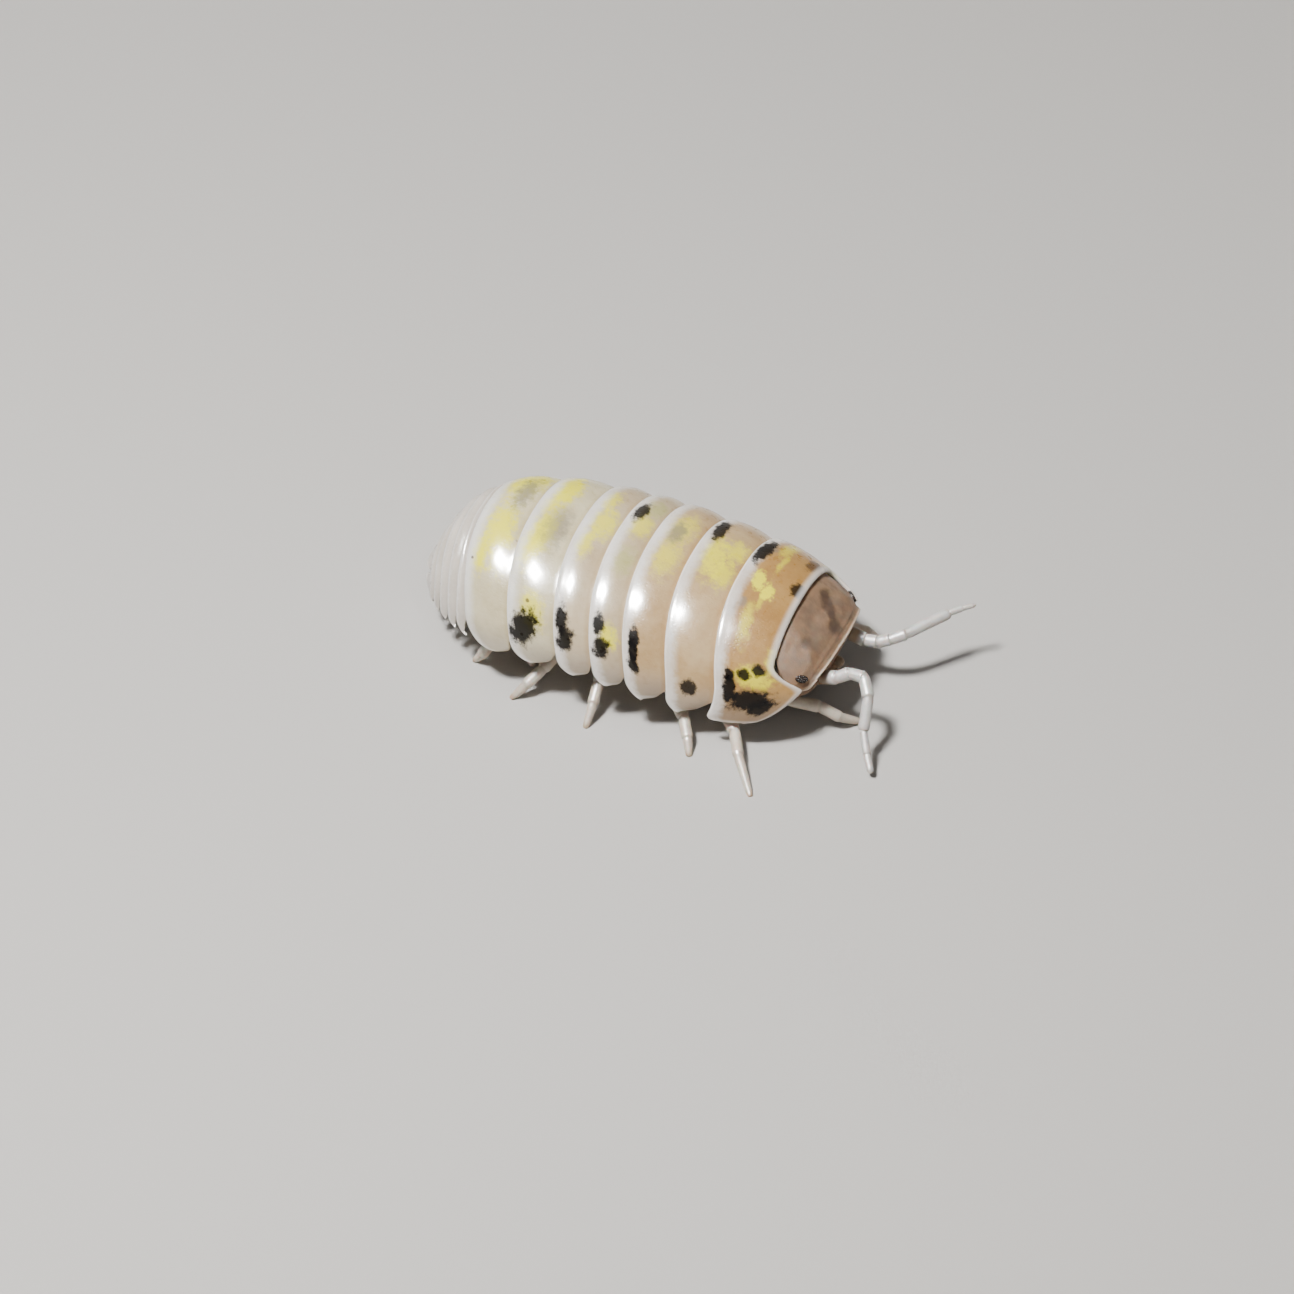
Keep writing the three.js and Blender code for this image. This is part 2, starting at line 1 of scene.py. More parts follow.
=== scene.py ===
"""Looks for a life-size pill woodlouse in mid stride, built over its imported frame."""

import logging
import math
from dataclasses import dataclass, field, replace
from enum import Enum
from typing import Callable, Optional, Sequence

import bmesh
import bpy
from mathutils import Matrix, Vector, noise

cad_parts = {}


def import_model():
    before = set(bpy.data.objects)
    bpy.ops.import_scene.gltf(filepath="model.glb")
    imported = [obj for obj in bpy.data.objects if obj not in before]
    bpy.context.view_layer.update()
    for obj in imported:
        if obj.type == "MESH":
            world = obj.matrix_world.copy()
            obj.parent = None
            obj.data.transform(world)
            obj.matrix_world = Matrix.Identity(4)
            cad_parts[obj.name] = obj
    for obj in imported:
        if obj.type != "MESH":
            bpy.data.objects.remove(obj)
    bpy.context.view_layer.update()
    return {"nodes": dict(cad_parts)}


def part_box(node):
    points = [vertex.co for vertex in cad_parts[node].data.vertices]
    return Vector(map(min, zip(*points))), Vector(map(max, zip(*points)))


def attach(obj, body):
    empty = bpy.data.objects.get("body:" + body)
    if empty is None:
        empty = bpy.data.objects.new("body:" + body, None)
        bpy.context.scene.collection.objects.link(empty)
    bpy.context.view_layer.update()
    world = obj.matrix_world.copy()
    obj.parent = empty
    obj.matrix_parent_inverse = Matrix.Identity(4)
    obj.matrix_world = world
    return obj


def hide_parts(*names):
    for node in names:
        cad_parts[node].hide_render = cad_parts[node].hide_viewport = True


LOG = logging.getLogger("woodlouse")
MM = 0.001
TURN = 2 * math.pi
HALF_WIDTH, TOP, LOW = 1, 2, 3
DOWN = Vector((0, 0, -1))
SIDES = (("right", -1), ("left", 1))
FLOAT, VECTOR = "NodeSocketFloat", "NodeSocketVector"
Colour = tuple[float, float, float]
Four = tuple[float, float, float, float]
Spot = tuple[Vector, Vector, float]
Socket = bpy.types.NodeSocket
Material = bpy.types.Material
BMesh = bmesh.types.BMesh


def smoothstep(value: float, low: float, high: float) -> float:
    """Returns 0 below low, 1 above high and a smooth step between."""
    t = min(max((value - low) / (high - low), 0.0), 1.0)
    return t * t * (3 - 2 * t)


def bell(value: float, middle: float, width: float) -> float:
    """Returns 1 at the middle, falling off smoothly on both sides."""
    return math.exp(-(((value - middle) / width) ** 2))


def cubic(points: Sequence[tuple[float, float]], x: float) -> float:
    """Returns the height at x of a smooth curve through four points.

    Args:
        points: place and height of each point, in order.
        x: a place between the middle two.

    Returns:
        The height.
    """
    a, b, c, d = points
    span = c[0] - b[0]
    t = min(max((x - b[0]) / span, 0.0), 1.0)
    rise_b = (c[1] - a[1]) / (c[0] - a[0]) * span
    rise_c = (d[1] - b[1]) / (d[0] - b[0]) * span
    t2, t3 = t * t, t * t * t
    return (2 * t3 - 3 * t2 + 1) * b[1] + (t3 - 2 * t2 + t) * rise_b + (3 * t2 - 2 * t3) * c[1] + (t3 - t2) * rise_c


def corner_cut(height: float, radius: float) -> float:
    """Returns how far a lobe's round corner is cut back at a height above the lobe's tip."""
    if height >= radius:
        return 0.0
    return radius - math.sqrt(radius**2 - (radius - max(height, 0.0)) ** 2)


@dataclass(frozen=True)
class BodyForm:
    """The arched form that every shell plate follows, in millimetres from the body's own middle.

    Each station holds x, half the width, the top of the back and the lower edge of the side lobes.
    """

    stations: tuple[Four, ...] = (
        (-8.7, 0.6, 1.5, 1.0),
        (-8.2, 1.2, 2.55, 1.15),
        (-7.8, 1.8, 3.35, 1.25),
        (-7.2, 2.5, 4.25, 1.35),
        (-6.2, 3.25, 4.95, 1.45),
        (-4.8, 3.95, 5.35, 1.55),
        (-2.6, 4.35, 5.45, 1.75),
        (-0.6, 4.45, 5.45, 1.75),
        (1.0, 4.45, 5.4, 1.6),
        (2.6, 4.4, 5.25, 1.3),
        (4.8, 4.2, 4.9, 1.15),
        (6.4, 3.7, 4.4, 1.2),
        (7.6, 3.0, 3.75, 1.6),
        (8.6, 2.2, 3.1, 2.0),
    )
    arch_power: float = 2.3
    crowding: float = 1.6
    plate_wall: float = 0.5
    groove: float = 0.62
    lobe_lean: float = 0.55
    belly_depth: float = 1.25
    belly_sag: float = 0.5
    lobe_height: float = 1.6
    eye_x: float = 7.45

    def origin(self) -> Vector:
        """Returns the body's middle on the floor, in the frame's millimetres, found from the two eyes."""
        corners = (*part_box("eye_right"), *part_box("eye_left"))
        x, y = (sum(corner[axis] for corner in corners) / 4 / MM for axis in (0, 1))
        return Vector((x - self.eye_x, y, 0.0))

    def value(self, x: float, column: int) -> float:
        """Returns one column of the stations at x.

        Args:
            x: place along the body.
            column: HALF_WIDTH, TOP or LOW.

        Returns:
            The value in millimetres.
        """
        st, last = self.stations, len(self.stations) - 1
        k = next((i for i, s in enumerate(st) if s[0] > x), last + 1) - 1
        k = min(max(k, 0), last - 1)
        near = [st[min(max(i, 0), last)] for i in range(k - 1, k + 3)]
        return cubic([(s[0], s[column]) for s in near], x)

    def arch(self, x: float, across: float, lift: float = 0.0) -> Vector:
        """Returns the point on the arch at x.

        Args:
            x: place along the body.
            across: -1 at the right lobe's edge, 0 on the midline, 1 at the left lobe's edge.
            lift: how far the point stands out from the form.

        Returns:
            The point.
        """
        crowd = 1 - (1 - min(abs(across), 1.0)) ** self.crowding
        angle = math.copysign(crowd * math.pi / 2, across)
        s, c = math.sin(angle), max(math.cos(angle), 0.0)
        bend = 2 / self.arch_power
        low = self.value(x, LOW)
        y = math.copysign(abs(s) ** bend, s) * (self.value(x, HALF_WIDTH) + lift)
        return Vector((x, y, low + c**bend * (self.value(x, TOP) + lift - low)))

    def belly(self, x: float, across: float, lower: float = 0.0) -> Vector:
        """Returns the point on the underside at x, up the inside of a lobe and over the belly.

        Args:
            x: place along the body.
            across: -1 at the right lobe's edge, 1 at the left one's.
            lower: how far the point is let down.

        Returns:
            The point.
        """
        side, place = math.copysign(1.0, across), abs(across)
        low = self.value(x, LOW)
        inset = self.value(x, HALF_WIDTH) - self.plate_wall
        depth = min(self.belly_depth, (self.value(x, TOP) - low) * 0.4)
        if place > self.groove:
            up = (1 - place) / (1 - self.groove)
            return Vector((x, side * (inset - self.lobe_lean * up), low + depth * up - lower))
        out = place / self.groove
        sag = self.belly_sag * (1 - out**4)
        return Vector((x, side * (inset - self.lobe_lean) * out, low + depth - sag - lower))

    def margin(self, edge_x: float, across: float, lean: float, sweep: float) -> float:
        """Returns the x of a plate's rear margin.

        Args:
            edge_x: its x at the lobe's edge.
            across: place across, -1 to 1.
            lean: how far it slants back for each millimetre of height.
            sweep: how far it sweeps back at the lobes.

        Returns:
            The margin's x.
        """
        height = self.height(edge_x, across)
        return edge_x - lean * height - sweep * max(0.0, 1 - height / self.lobe_height) ** 2

    def height(self, x: float, across: float) -> float:
        """Returns the arch's height above the lobe's edge."""
        return self.arch(x, across).z - self.value(x, LOW)


FORM = BodyForm()


def finish_piece(
    name: str, bm: BMesh, material: Material, nodes: Sequence[str], subdivide: int = 0
) -> bpy.types.Object:
    """Turns a bmesh in body millimetres into a finished piece of the frame.

    Args:
        name: the piece's name.
        bm: the mesh, freed here.
        material: its finish.
        nodes: the frame's nodes that it stands for.
        subdivide: levels of Subdivision Surface, the same in view and render.

    Returns:
        The new object, riding on the root.
    """
    bmesh.ops.translate(bm, verts=bm.verts, vec=FORM.origin())
    bmesh.ops.scale(bm, verts=bm.verts, vec=(MM, MM, MM))
    for face in bm.faces:
        face.smooth = True
    mesh = bpy.data.meshes.new(name)
    bm.to_mesh(mesh)
    bm.free()
    mesh.materials.append(material)
    piece = bpy.data.objects.new(name, mesh)
    bpy.context.scene.collection.objects.link(piece)
    if subdivide:
        smooth = piece.modifiers.new("Smooth", "SUBSURF")
        smooth.levels = smooth.render_levels = subdivide
    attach(piece, "root")
    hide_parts(*nodes)
    LOG.info("%s: %d vertices for %s", name, len(mesh.vertices), ", ".join(nodes))
    return piece


def curved_sheet(columns: int, rows: int, wall: float, place: Callable[[float, float], Spot]) -> BMesh:
    """Bends a flat grid onto a surface and gives it a wall on its inner side.

    Args:
        columns: faces across.
        rows: faces along.
        wall: the wall's thickness.
        place: for (across -1..1, along 0..1) gives the point, the values kept in "place", and the distance
            to the front edge that shows, kept in "ahead".

    Returns:
        The closed bmesh, whose faces point outwards.
    """
    bm = bmesh.new()
    kept = bm.verts.layers.float_vector.new("place")
    front = bm.verts.layers.float.new("ahead")
    bmesh.ops.create_grid(bm, x_segments=columns, y_segments=rows, size=1.0)
    for v in bm.verts:
        v.co, v[kept], v[front] = place(v.co.x, (v.co.y + 1) / 2)
    bmesh.ops.recalc_face_normals(bm, faces=bm.faces)
    top = max(bm.faces, key=lambda f: f.calc_center_median().z)
    if top.normal.z < 0:
        bmesh.ops.reverse_faces(bm, faces=bm.faces)
    bmesh.ops.solidify(bm, geom=bm.faces[:], thickness=wall)
    return bm


def tube(rows: Sequence[Sequence[Vector]], runs: Sequence[Vector] = ()) -> BMesh:
    """Extrudes a circle through rows of points and closes both ends.

    Args:
        rows: the points of every ring, in order round it.
        runs: what the vertices of every ring keep in "run", if anything.

    Returns:
        The closed bmesh, whose faces point outwards.
    """
    bm = bmesh.new()
    run = bm.verts.layers.float_vector.new("run") if runs else None
    made = bmesh.ops.create_circle(bm, cap_ends=True, segments=len(rows[0]), radius=1.0)
    circle = sorted(made["verts"], key=lambda v: math.atan2(v.co.y, v.co.x))
    edges = bm.edges[:]
    for number, row in enumerate(rows):
        if number:
            out = bmesh.ops.extrude_edge_only(bm, edges=edges)["geom"]
            step = {v for v in out if isinstance(v, bmesh.types.BMVert)}
            edges = [e for e in out if isinstance(e, bmesh.types.BMEdge)]
            circle = [next(e.other_vert(v) for e in v.link_edges if e.other_vert(v) in step) for v in circle]
        for v, point in zip(circle, row):
            v.co = point
            if runs:
                v[run] = runs[number]
    bmesh.ops.contextual_create(bm, geom=edges)
    bmesh.ops.recalc_face_normals(bm, faces=bm.faces)
    return bm


@dataclass(frozen=True)
class Ring:
    """One ring of a limb: its middle, the way it faces, its radius and how near it is to a joint."""

    at: Vector
    axis: Vector
    radius: float
    joint: float = 0.0


def sweep(rings: Sequence[Ring], sides: int, floor: Optional[float]) -> BMesh:
    """Makes a limb from its rings.

    Args:
        rings: the rings in order.
        sides: vertices in each ring.
        floor: least height of any vertex but those of the last ring.

    Returns:
        A closed bmesh whose "run" vector holds the distance from the start and the nearness to a joint.
    """
    side_ways = Vector((0, 1, 0)) if abs(rings[0].axis.y) < 0.8 else Vector((1, 0, 0))
    rows, runs, length = [], [], 0.0
    for number, ring in enumerate(rings):
        if number:
            length += (ring.at - rings[number - 1].at).length
        axis = ring.axis.normalized()
        side_ways = (side_ways - axis * side_ways.dot(axis)).normalized()
        up = axis.cross(side_ways)
        turns = (TURN * k / sides for k in range(sides))
        row = [ring.at + (side_ways * math.cos(turn) + up * math.sin(turn)) * ring.radius for turn in turns]
        if floor is not None and number < len(rings) - 1:
            for point in row:
                point.z = max(point.z, floor)
        rows.append(row)
        runs.append(Vector((length, ring.joint, 0.0)))
    return tube(rows, runs)


def add_bristle(bm: BMesh, root: Vector, tip: Vector, radius: float, run: Vector) -> None:
    """Adds one tapered bristle with its root sunk in the limb.

    Args:
        bm: the mesh that it joins.
        root: the middle of its root.
        tip: its point.
        radius: its radius at the root.
        run: what its vertices keep in "run".
    """
    layer = bm.verts.layers.float_vector["run"]
    way = tip - root
    matrix = Matrix.Translation(root + way / 2) @ way.to_track_quat("Z", "Y").to_matrix().to_4x4()
    made = bmesh.ops.create_cone(
        bm, cap_ends=True, segments=5, radius1=radius, radius2=radius * 0.12, depth=way.length, matrix=matrix
    )
    for v in made["verts"]:
        v[layer] = run


def add_ball(bm: BMesh, matrix: Matrix, across: int, down: int) -> None:
    """Adds a ball, stretched and placed by a matrix, with faces counted round it and from pole to pole."""
    bmesh.ops.create_uvsphere(bm, u_segments=across, v_segments=down, radius=1.0, matrix=matrix)


class Tree:
    """Makes and links the nodes of one material or group."""

    def __init__(self, nodes: bpy.types.NodeTree) -> None:
        """Keeps the node tree to build in."""
        self.nodes = nodes

    def add(self, kind: str, inputs: dict, **settings: object) -> bpy.types.Node:
        """Adds a node.

        Args:
            kind: the node's type name.
            inputs: for each input's name or number, a value or another node's output.
            settings: attributes set on the node.

        Returns:
            The new node.
        """
        made = self.nodes.nodes.new(kind)
        for key, value in settings.items():
            setattr(made, key, value)
        for key, value in inputs.items():
            if isinstance(value, Socket):
                self.link(value, made, key)
            else:
                made.inputs[key].default_value = value
        return made

    def link(self, value: Socket, node: bpy.types.Node, key: object) -> None:
        """Feeds an output into a node's input."""
        self.nodes.links.new(value, node.inputs[key])

    def math(self, operation: str, a: object, b: object = 0.0, clamp: bool = False) -> Socket:
        """Returns the result of a Math node."""
        return self.add("ShaderNodeMath", {0: a, 1: b}, operation=operation, use_clamp=clamp).outputs[0]

    def scaled(self, value: Socket, by: float, base: float, clamp: bool = False) -> Socket:
        """Returns value times by, plus base."""
        return self.math("ADD", self.math("MULTIPLY", value, by), base, clamp)

    def vector(self, operation: str, a: object, b: object) -> Socket:
        """Returns the result of a Vector Math node."""
        return self.add("ShaderNodeVectorMath", {0: a, 1: b}, operation=operation).outputs[0]

    def ramp(self, value: Socket, low: object, high: object, to_low: float = 0.0, to_high: float = 1.0) -> Socket:
        """Returns a smooth step of value from to_low at low to to_high at high."""
        inputs = {"Value": value, "From Min": low, "From Max": high, "To Min": to_low, "To Max": to_high}
        return self.add("ShaderNodeMapRange", inputs, interpolation_type="SMOOTHSTEP").outputs["Result"]

    def mix(self, mask: object, a: object, b: object) -> Socket:
        """Returns colour a where the mask is 0 and b where it is 1."""
        inputs = {key: (*v, 1.0) if isinstance(v, tuple) else v for key, v in ((0, mask), (6, a), (7, b))}
        return self.add("ShaderNodeMix", inputs, data_type="RGBA", clamp_factor=True).outputs[2]

    def cover(self, colour: object, mask: Socket, strength: float, top: object) -> Socket:
        """Returns a colour covered by another where a mask is, at a strength."""
        return self.mix(self.math("MULTIPLY", mask, strength), colour, top)

    def group(self, group: bpy.types.NodeTree, inputs: dict) -> Socket:
        """Returns the output of a group."""
        return self.add("ShaderNodeGroup", inputs, node_tree=group).outputs[0]

    def noise(self, place: Socket, scale: object, detail: float, roughness: float = 0.5) -> Socket:
        """Returns a noise pattern's value."""
        inputs = {"Vector": place, "Scale": scale, "Detail": detail, "Roughness": roughness}
        return self.add("ShaderNodeTexNoise", inputs).outputs["Fac"]

    def attribute(self, name: str, output: str = "Vector") -> Socket:
        """Returns an attribute that the mesh keeps."""
        return self.add("ShaderNodeAttribute", {}, attribute_name=name).outputs[output]

    def local(self) -> Socket:
        """Returns the place on the piece in millimetres, from its Object coordinates."""
        where = self.add("ShaderNodeTexCoord", {}).outputs["Object"]
        return self.add("ShaderNodeMapping", {"Vector": where, "Scale": (1 / MM,) * 3}).outputs[0]

    def dress(
        self, shader: bpy.types.Node, colour: Socket, rough: Socket, height: Socket, strength: float, deep: float
    ) -> None:
        """Feeds a colour, a roughness and a relief into a shader.

        Args:
            shader: the Principled shader.
            colour: its base colour.
            rough: its roughness.
            height: the relief.
            strength: the relief's strength.
            deep: the relief's depth in millimetres.
        """
        bump = self.add("ShaderNodeBump", {"Height": height, "Strength": strength, "Distance": deep * MM})
        for key, value in (("Base Color", colour), ("Roughness", rough), ("Normal", bump.outputs[0])):
            self.link(value, shader, key)


def new_group(name: str, inputs: dict[str, str], output: str) -> tuple[Tree, bpy.types.Node, bpy.types.Node]:
    """Starts a shader node group with one number as its output.

    Args:
        name: its name.
        inputs: the kind of each input by its name.
        output: the output's name.

    Returns:
        The tree helper, the node that gives the inputs and the node that takes the output.
    """
    group = bpy.data.node_groups.new(name, "ShaderNodeTree")
    for label, kind in inputs.items():
        group.interface.new_socket(name=label, in_out="INPUT", socket_type=kind)
    group.interface.new_socket(name=output, in_out="OUTPUT", socket_type=FLOAT)
    return Tree(group), group.nodes.new("NodeGroupInput"), group.nodes.new("NodeGroupOutput")


@dataclass
class Effects:
    """The effects that several finishes share, each a node group built once."""

    blotch: bpy.types.NodeTree = field(init=False)
    cloud: bpy.types.NodeTree = field(init=False)
    grain: bpy.types.NodeTree = field(init=False)

    def __post_init__(self) -> None:
        """Builds the groups."""
        self.blotch, self.cloud, self.grain = self.make_blotch(), self.make_cloud(), self.make_grain()

    def make_blotch(self) -> bpy.types.NodeTree:
        """Returns a soft, ragged oval spot of pigment."""
        kinds = {"Place": VECTOR, "Centre": VECTOR, "Reach": VECTOR, "Turn": FLOAT, "Softness": FLOAT, "Ragged": FLOAT}
        tree, given, out = new_group("Pigment blotch", kinds, "Mask")
        place, centre, reach, turn, softness, ragged = (given.outputs[name] for name in kinds)
        away = tree.vector("SUBTRACT", place, centre)
        inputs = {"Vector": away, "Angle": turn}
        turned = tree.add("ShaderNodeVectorRotate", inputs, rotation_type="Z_AXIS").outputs[0]
        oval = {0: tree.vector("DIVIDE", turned, reach)}
        far = tree.add("ShaderNodeVectorMath", oval, operation="LENGTH").outputs["Value"]
        wander = tree.math("SUBTRACT", tree.noise(place, 3.6, 5.0, 0.65), 0.5)
        total = tree.math("ADD", far, tree.math("MULTIPLY", wander, ragged))
        low, high = tree.math("SUBTRACT", 1.0, softness), tree.math("ADD", 1.0, softness)
        tree.link(tree.ramp(total, low, high, 1.0, 0.0), out, "Mask")
        return tree.nodes

    def make_cloud(self) -> bpy.types.NodeTree:
        """Returns slow, cloudy changes of tone."""
        kinds = {"Place": VECTOR, "Size": FLOAT, "Low": FLOAT, "High": FLOAT}
        tree, given, out = new_group("Milky cloud", kinds, "Mask")
        place, size, low, high = (given.outputs[name] for name in kinds)
        tone = tree.noise(place, tree.math("DIVIDE", 1.0, size), 5.0, 0.55)
        tree.link(tree.ramp(tone, low, high), out, "Mask")
        return tree.nodes

    def make_grain(self) -> bpy.types.NodeTree:
        """Returns the cuticle's fine dimples and faint ripples, as a height."""
        tree, given, out = new_group("Cuticle grain", {"Place": VECTOR, "Size": FLOAT}, "Height")
        place = given.outputs["Place"]
        scale = tree.math("DIVIDE", 1.0, given.outputs["Size"])
        cells = tree.add("ShaderNodeTexVoronoi", {"Vector": place, "Scale": scale}).outputs["Distance"]
        soft = tree.noise(place, tree.math("MULTIPLY", scale, 0.35), 3.0)
        tree.link(tree.scaled(tree.ramp(cells, 0.05, 0.45), 0.35, soft), out, "Height")
        return tree.nodes


def new_material(name: str) -> tuple[Material, Tree, bpy.types.Node]:
    """Starts a material.

    Args:
        name: its name.

    Returns:
        The material, its tree helper and its Principled shader.
    """
    material = bpy.data.materials.new(name)
    material.use_nodes = True
    return material, Tree(material.node_tree), material.node_tree.nodes["Principled BSDF"]


def set_constants(shader: bpy.types.Node, values: dict[str, object]) -> None:
    """Sets the shader's all-over constants on its own sockets."""
    for key, value in values.items():
        shader.inputs[key].default_value = value


class Tint(Enum):
    """The pigments of the shell's markings."""

    BLACK = (0.002, 0.0012, 0.001)
    BROWN = (0.06, 0.03, 0.015)
    GREY = (0.18, 0.16, 0.13)
    YELLOW = (0.86, 0.77, 0.02)
    GREEN = (0.40, 0.40, 0.12)

    @property
    def is_dark(self) -> bool:
        """Tells whether the pigment lies over the pale rim of a plate."""
        return self in (Tint.BLACK, Tint.BROWN)

    @property
    def raggedness(self) -> float:
        """Returns how far a blotch's outline wanders."""
        return 1.9 if self.is_dark else 2.6


@dataclass(frozen=True)
class Marking:
    """One blotch of pigment on a plate, in millimetres round the arch and forward from the rear margin."""

    arc: float
    along: float
    half_arc: float
    half_along: float
    tint: Tint
    strength: float = 0.95
    turn: float = 0.0
    softness: float = 0.3
    both_sides: bool = True


@dataclass(frozen=True)
class Fade:
    """A cover that grows from nothing at one distance to its full strength at another."""

    start: float
    full: float
    strength: float

    def over(self, tree: Tree, colour: Socket, distance: Socket, top: Colour) -> Socket:
        """Returns the colour with another laid over it where the distance is short."""
        return tree.cover(colour, tree.ramp(distance, self.start, self.full), self.strength, top)


@dataclass(frozen=True)
class ShellFinish:
    """Glossy milky cuticle, tan where the body shows through and white at the plates' margins."""

    tan: Colour
    pale: Colour
    paleness: float
    band: Colour = (0.80, 0.77, 0.73)
    lobe: Colour = (0.30, 0.25, 0.21)
    band_width: float = 0.4
    band_strength: float = 0.85
    # painted shade: a darker tan line painted in the crease beside the plate ahead, where that plate's rim lies over
    # this one; it also stands for the tan body showing through the thin cuticle there
    crease: Fade = Fade(0.16, 0.0, 0.45)
    front_band: Fade = Fade(0.34, 0.06, 0.0)
    flank: Fade = Fade(1.5, 0.2, 0.7)
    lip: Fade = Fade(0.13, 0.04, 0.6)
    rim: Fade = Fade(0.16, 0.03, 0.4)
    roughness: float = 0.27
    coat: float = 0.92

    def paint(self, tree: Tree, effects: Effects, place: Socket, colour: Socket, mark: Marking) -> Socket:
        """Paints one blotch, on both sides of the back where the mark says so.

        Args:
            tree: the material's tree.
            effects: the shared effects.
            place: the place on the plate, flattened.
            colour: the colour below.
            mark: the blotch.

        Returns:
            The colour with the blotch on it.
        """
        for side in (1, -1) if mark.both_sides else (1,):
            inputs = {
                "Place": place,
                "Centre": (mark.arc * side, mark.along, 0.0),
                "Reach": (mark.half_arc, mark.half_along, 1.0),
                "Turn": math.radians(mark.turn) * side,
                "Softness": mark.softness,
                "Ragged": mark.tint.raggedness,
            }
            colour = tree.cover(colour, tree.group(effects.blotch, inputs), mark.strength, mark.tint.value)
        return colour

    def make(self, name: str, effects: Effects, marks: Sequence[Marking], number: int) -> Material:
        """Makes the material of one plate.

        Args:
            name: the material's name.
            effects: the shared effects.
            marks: the plate's blotches.
            number: the plate's number, which shifts the random patterns.

        Returns:
            The material.
        """
        material, tree, shader = new_material(name)
        place, ahead = tree.attribute("place"), tree.attribute("ahead", "Fac")
        shifted = tree.vector("ADD", place, (number * 11.3, number * 5.7, 0.0))
        parts = tree.add("ShaderNodeSeparateXYZ", {0: place})
        along, edge = parts.outputs["Y"], parts.outputs["Z"]
        broad = tree.group(effects.cloud, {"Place": shifted, "Size": 1.7, "Low": 0.3, "High": 0.7})
        fine = tree.group(effects.cloud, {"Place": shifted, "Size": 0.28, "Low": 0.35, "High": 0.7})
        tone = tree.scaled(fine, 0.12, tree.scaled(broad, 0.45, self.paleness - 0.22), clamp=True)
        colour = self.flank.over(tree, tree.mix(tone, self.tan, self.pale), edge, self.lobe)
        flat = tree.vector("MULTIPLY", place, (1.0, 1.0, 0.0))
        for mark in (m for m in marks if not m.tint.is_dark):
            colour = self.paint(tree, effects, flat, colour, mark)
        ragged = tree.scaled(tree.math("SUBTRACT", fine, 0.5), 0.1, along)
        band = tree.ramp(ragged, self.band_width * 1.6, self.band_width * 0.45)
        band = tree.math("MULTIPLY", band, tree.scaled(broad, 0.3, 0.75), clamp=True)
        colour = tree.cover(colour, band, self.band_strength, self.band)
        for mark in (m for m in marks if m.tint.is_dark):
            colour = self.paint(tree, effects, flat, colour, mark)
        colour = self.lip.over(tree, colour, along, self.band)
        colour = self.rim.over(tree, colour, edge, self.band)
        # lay the painted crease shade (and the tan showing through) along the edge under the plate ahead
        colour = self.crease.over(tree, colour, ahead, self.tan)
        colour = self.front_band.over(tree, colour, ahead, self.band)
        grain = tree.group(effects.grain, {"Place": shifted, "Size": 0.13})
        tree.dress(shader, colour, tree.scaled(fine, 0.1, self.roughness), grain, 0.6, 0.022)
        gloss = tree.ramp(tree.add("ShaderNodeRGBToBW", {"Color": colour}).outputs[0], 0.01, 0.14, 0.12, 1.0)
        tree.link(tree.math("MULTIPLY", gloss, self.coat), shader, "Coat Weight")
        constants = {
            "Coat Roughness": 0.18,
            "Specular IOR Level": 0.14,
            "Subsurface Weight": 0.06,
            "Subsurface Radius": (1.0, 0.7, 0.45),
            "Subsurface Scale": 0.35 * MM,
        }
        set_constants(shader, constants)
        return material


@dataclass(frozen=True)
class LimbFinish:
    """Translucent bluish white skin of legs and feelers, browner at the root, the joints and the tip."""

    skin: Colour = (0.54, 0.47, 0.38)
    shade: Colour = (0.36, 0.285, 0.215)
    joint: Colour = (0.30, 0.24, 0.19)
    tip: Colour = (0.38, 0.28, 0.19)
    root: Colour = (0.26, 0.17, 0.10)
    root_to: float = 1.5
    tip_fade: float = 0.25
    end_strength: float = 0.85

    def make(self, name: str, effects: Effects, tip_from: float) -> Material:
        """Makes the material of one limb.

        Args:
            name: the material's name.
            effects: the shared effects.
            tip_from: the distance from the limb's start past which the tip turns brown.

        Returns:
            The material.
        """
        material, tree, shader = new_material(name)
        local = tree.local()
        parts = tree.add("ShaderNodeSeparateXYZ", {0: tree.attribute("run")})
        run, joint = parts.outputs["X"], parts.outputs["Y"]
        cloud = tree.group(effects.cloud, {"Place": local, "Size": 0.35, "Low": 0.4, "High": 0.75})
        colour = tree.cover(self.skin, cloud, 0.5, self.shade)
        colour = tree.cover(colour, joint, 0.5, self.joint)
        colour = Fade(self.root_to, self.root_to * 0.5, self.end_strength).over(tree, colour, run, self.root)
        colour = Fade(tip_from, tip_from + self.tip_fade, self.end_strength).over(tree, colour, run, self.tip)
        grain = tree.group(effects.grain, {"Place": local, "Size": 0.05})
        tree.dress(shader, colour, tree.scaled(cloud, 0.15, 0.33), grain, 0.5, 0.01)
        set_constants(shader, {"Subsurface Weight": 0.2, "Subsurface Scale": 0.2 * MM})
        return material


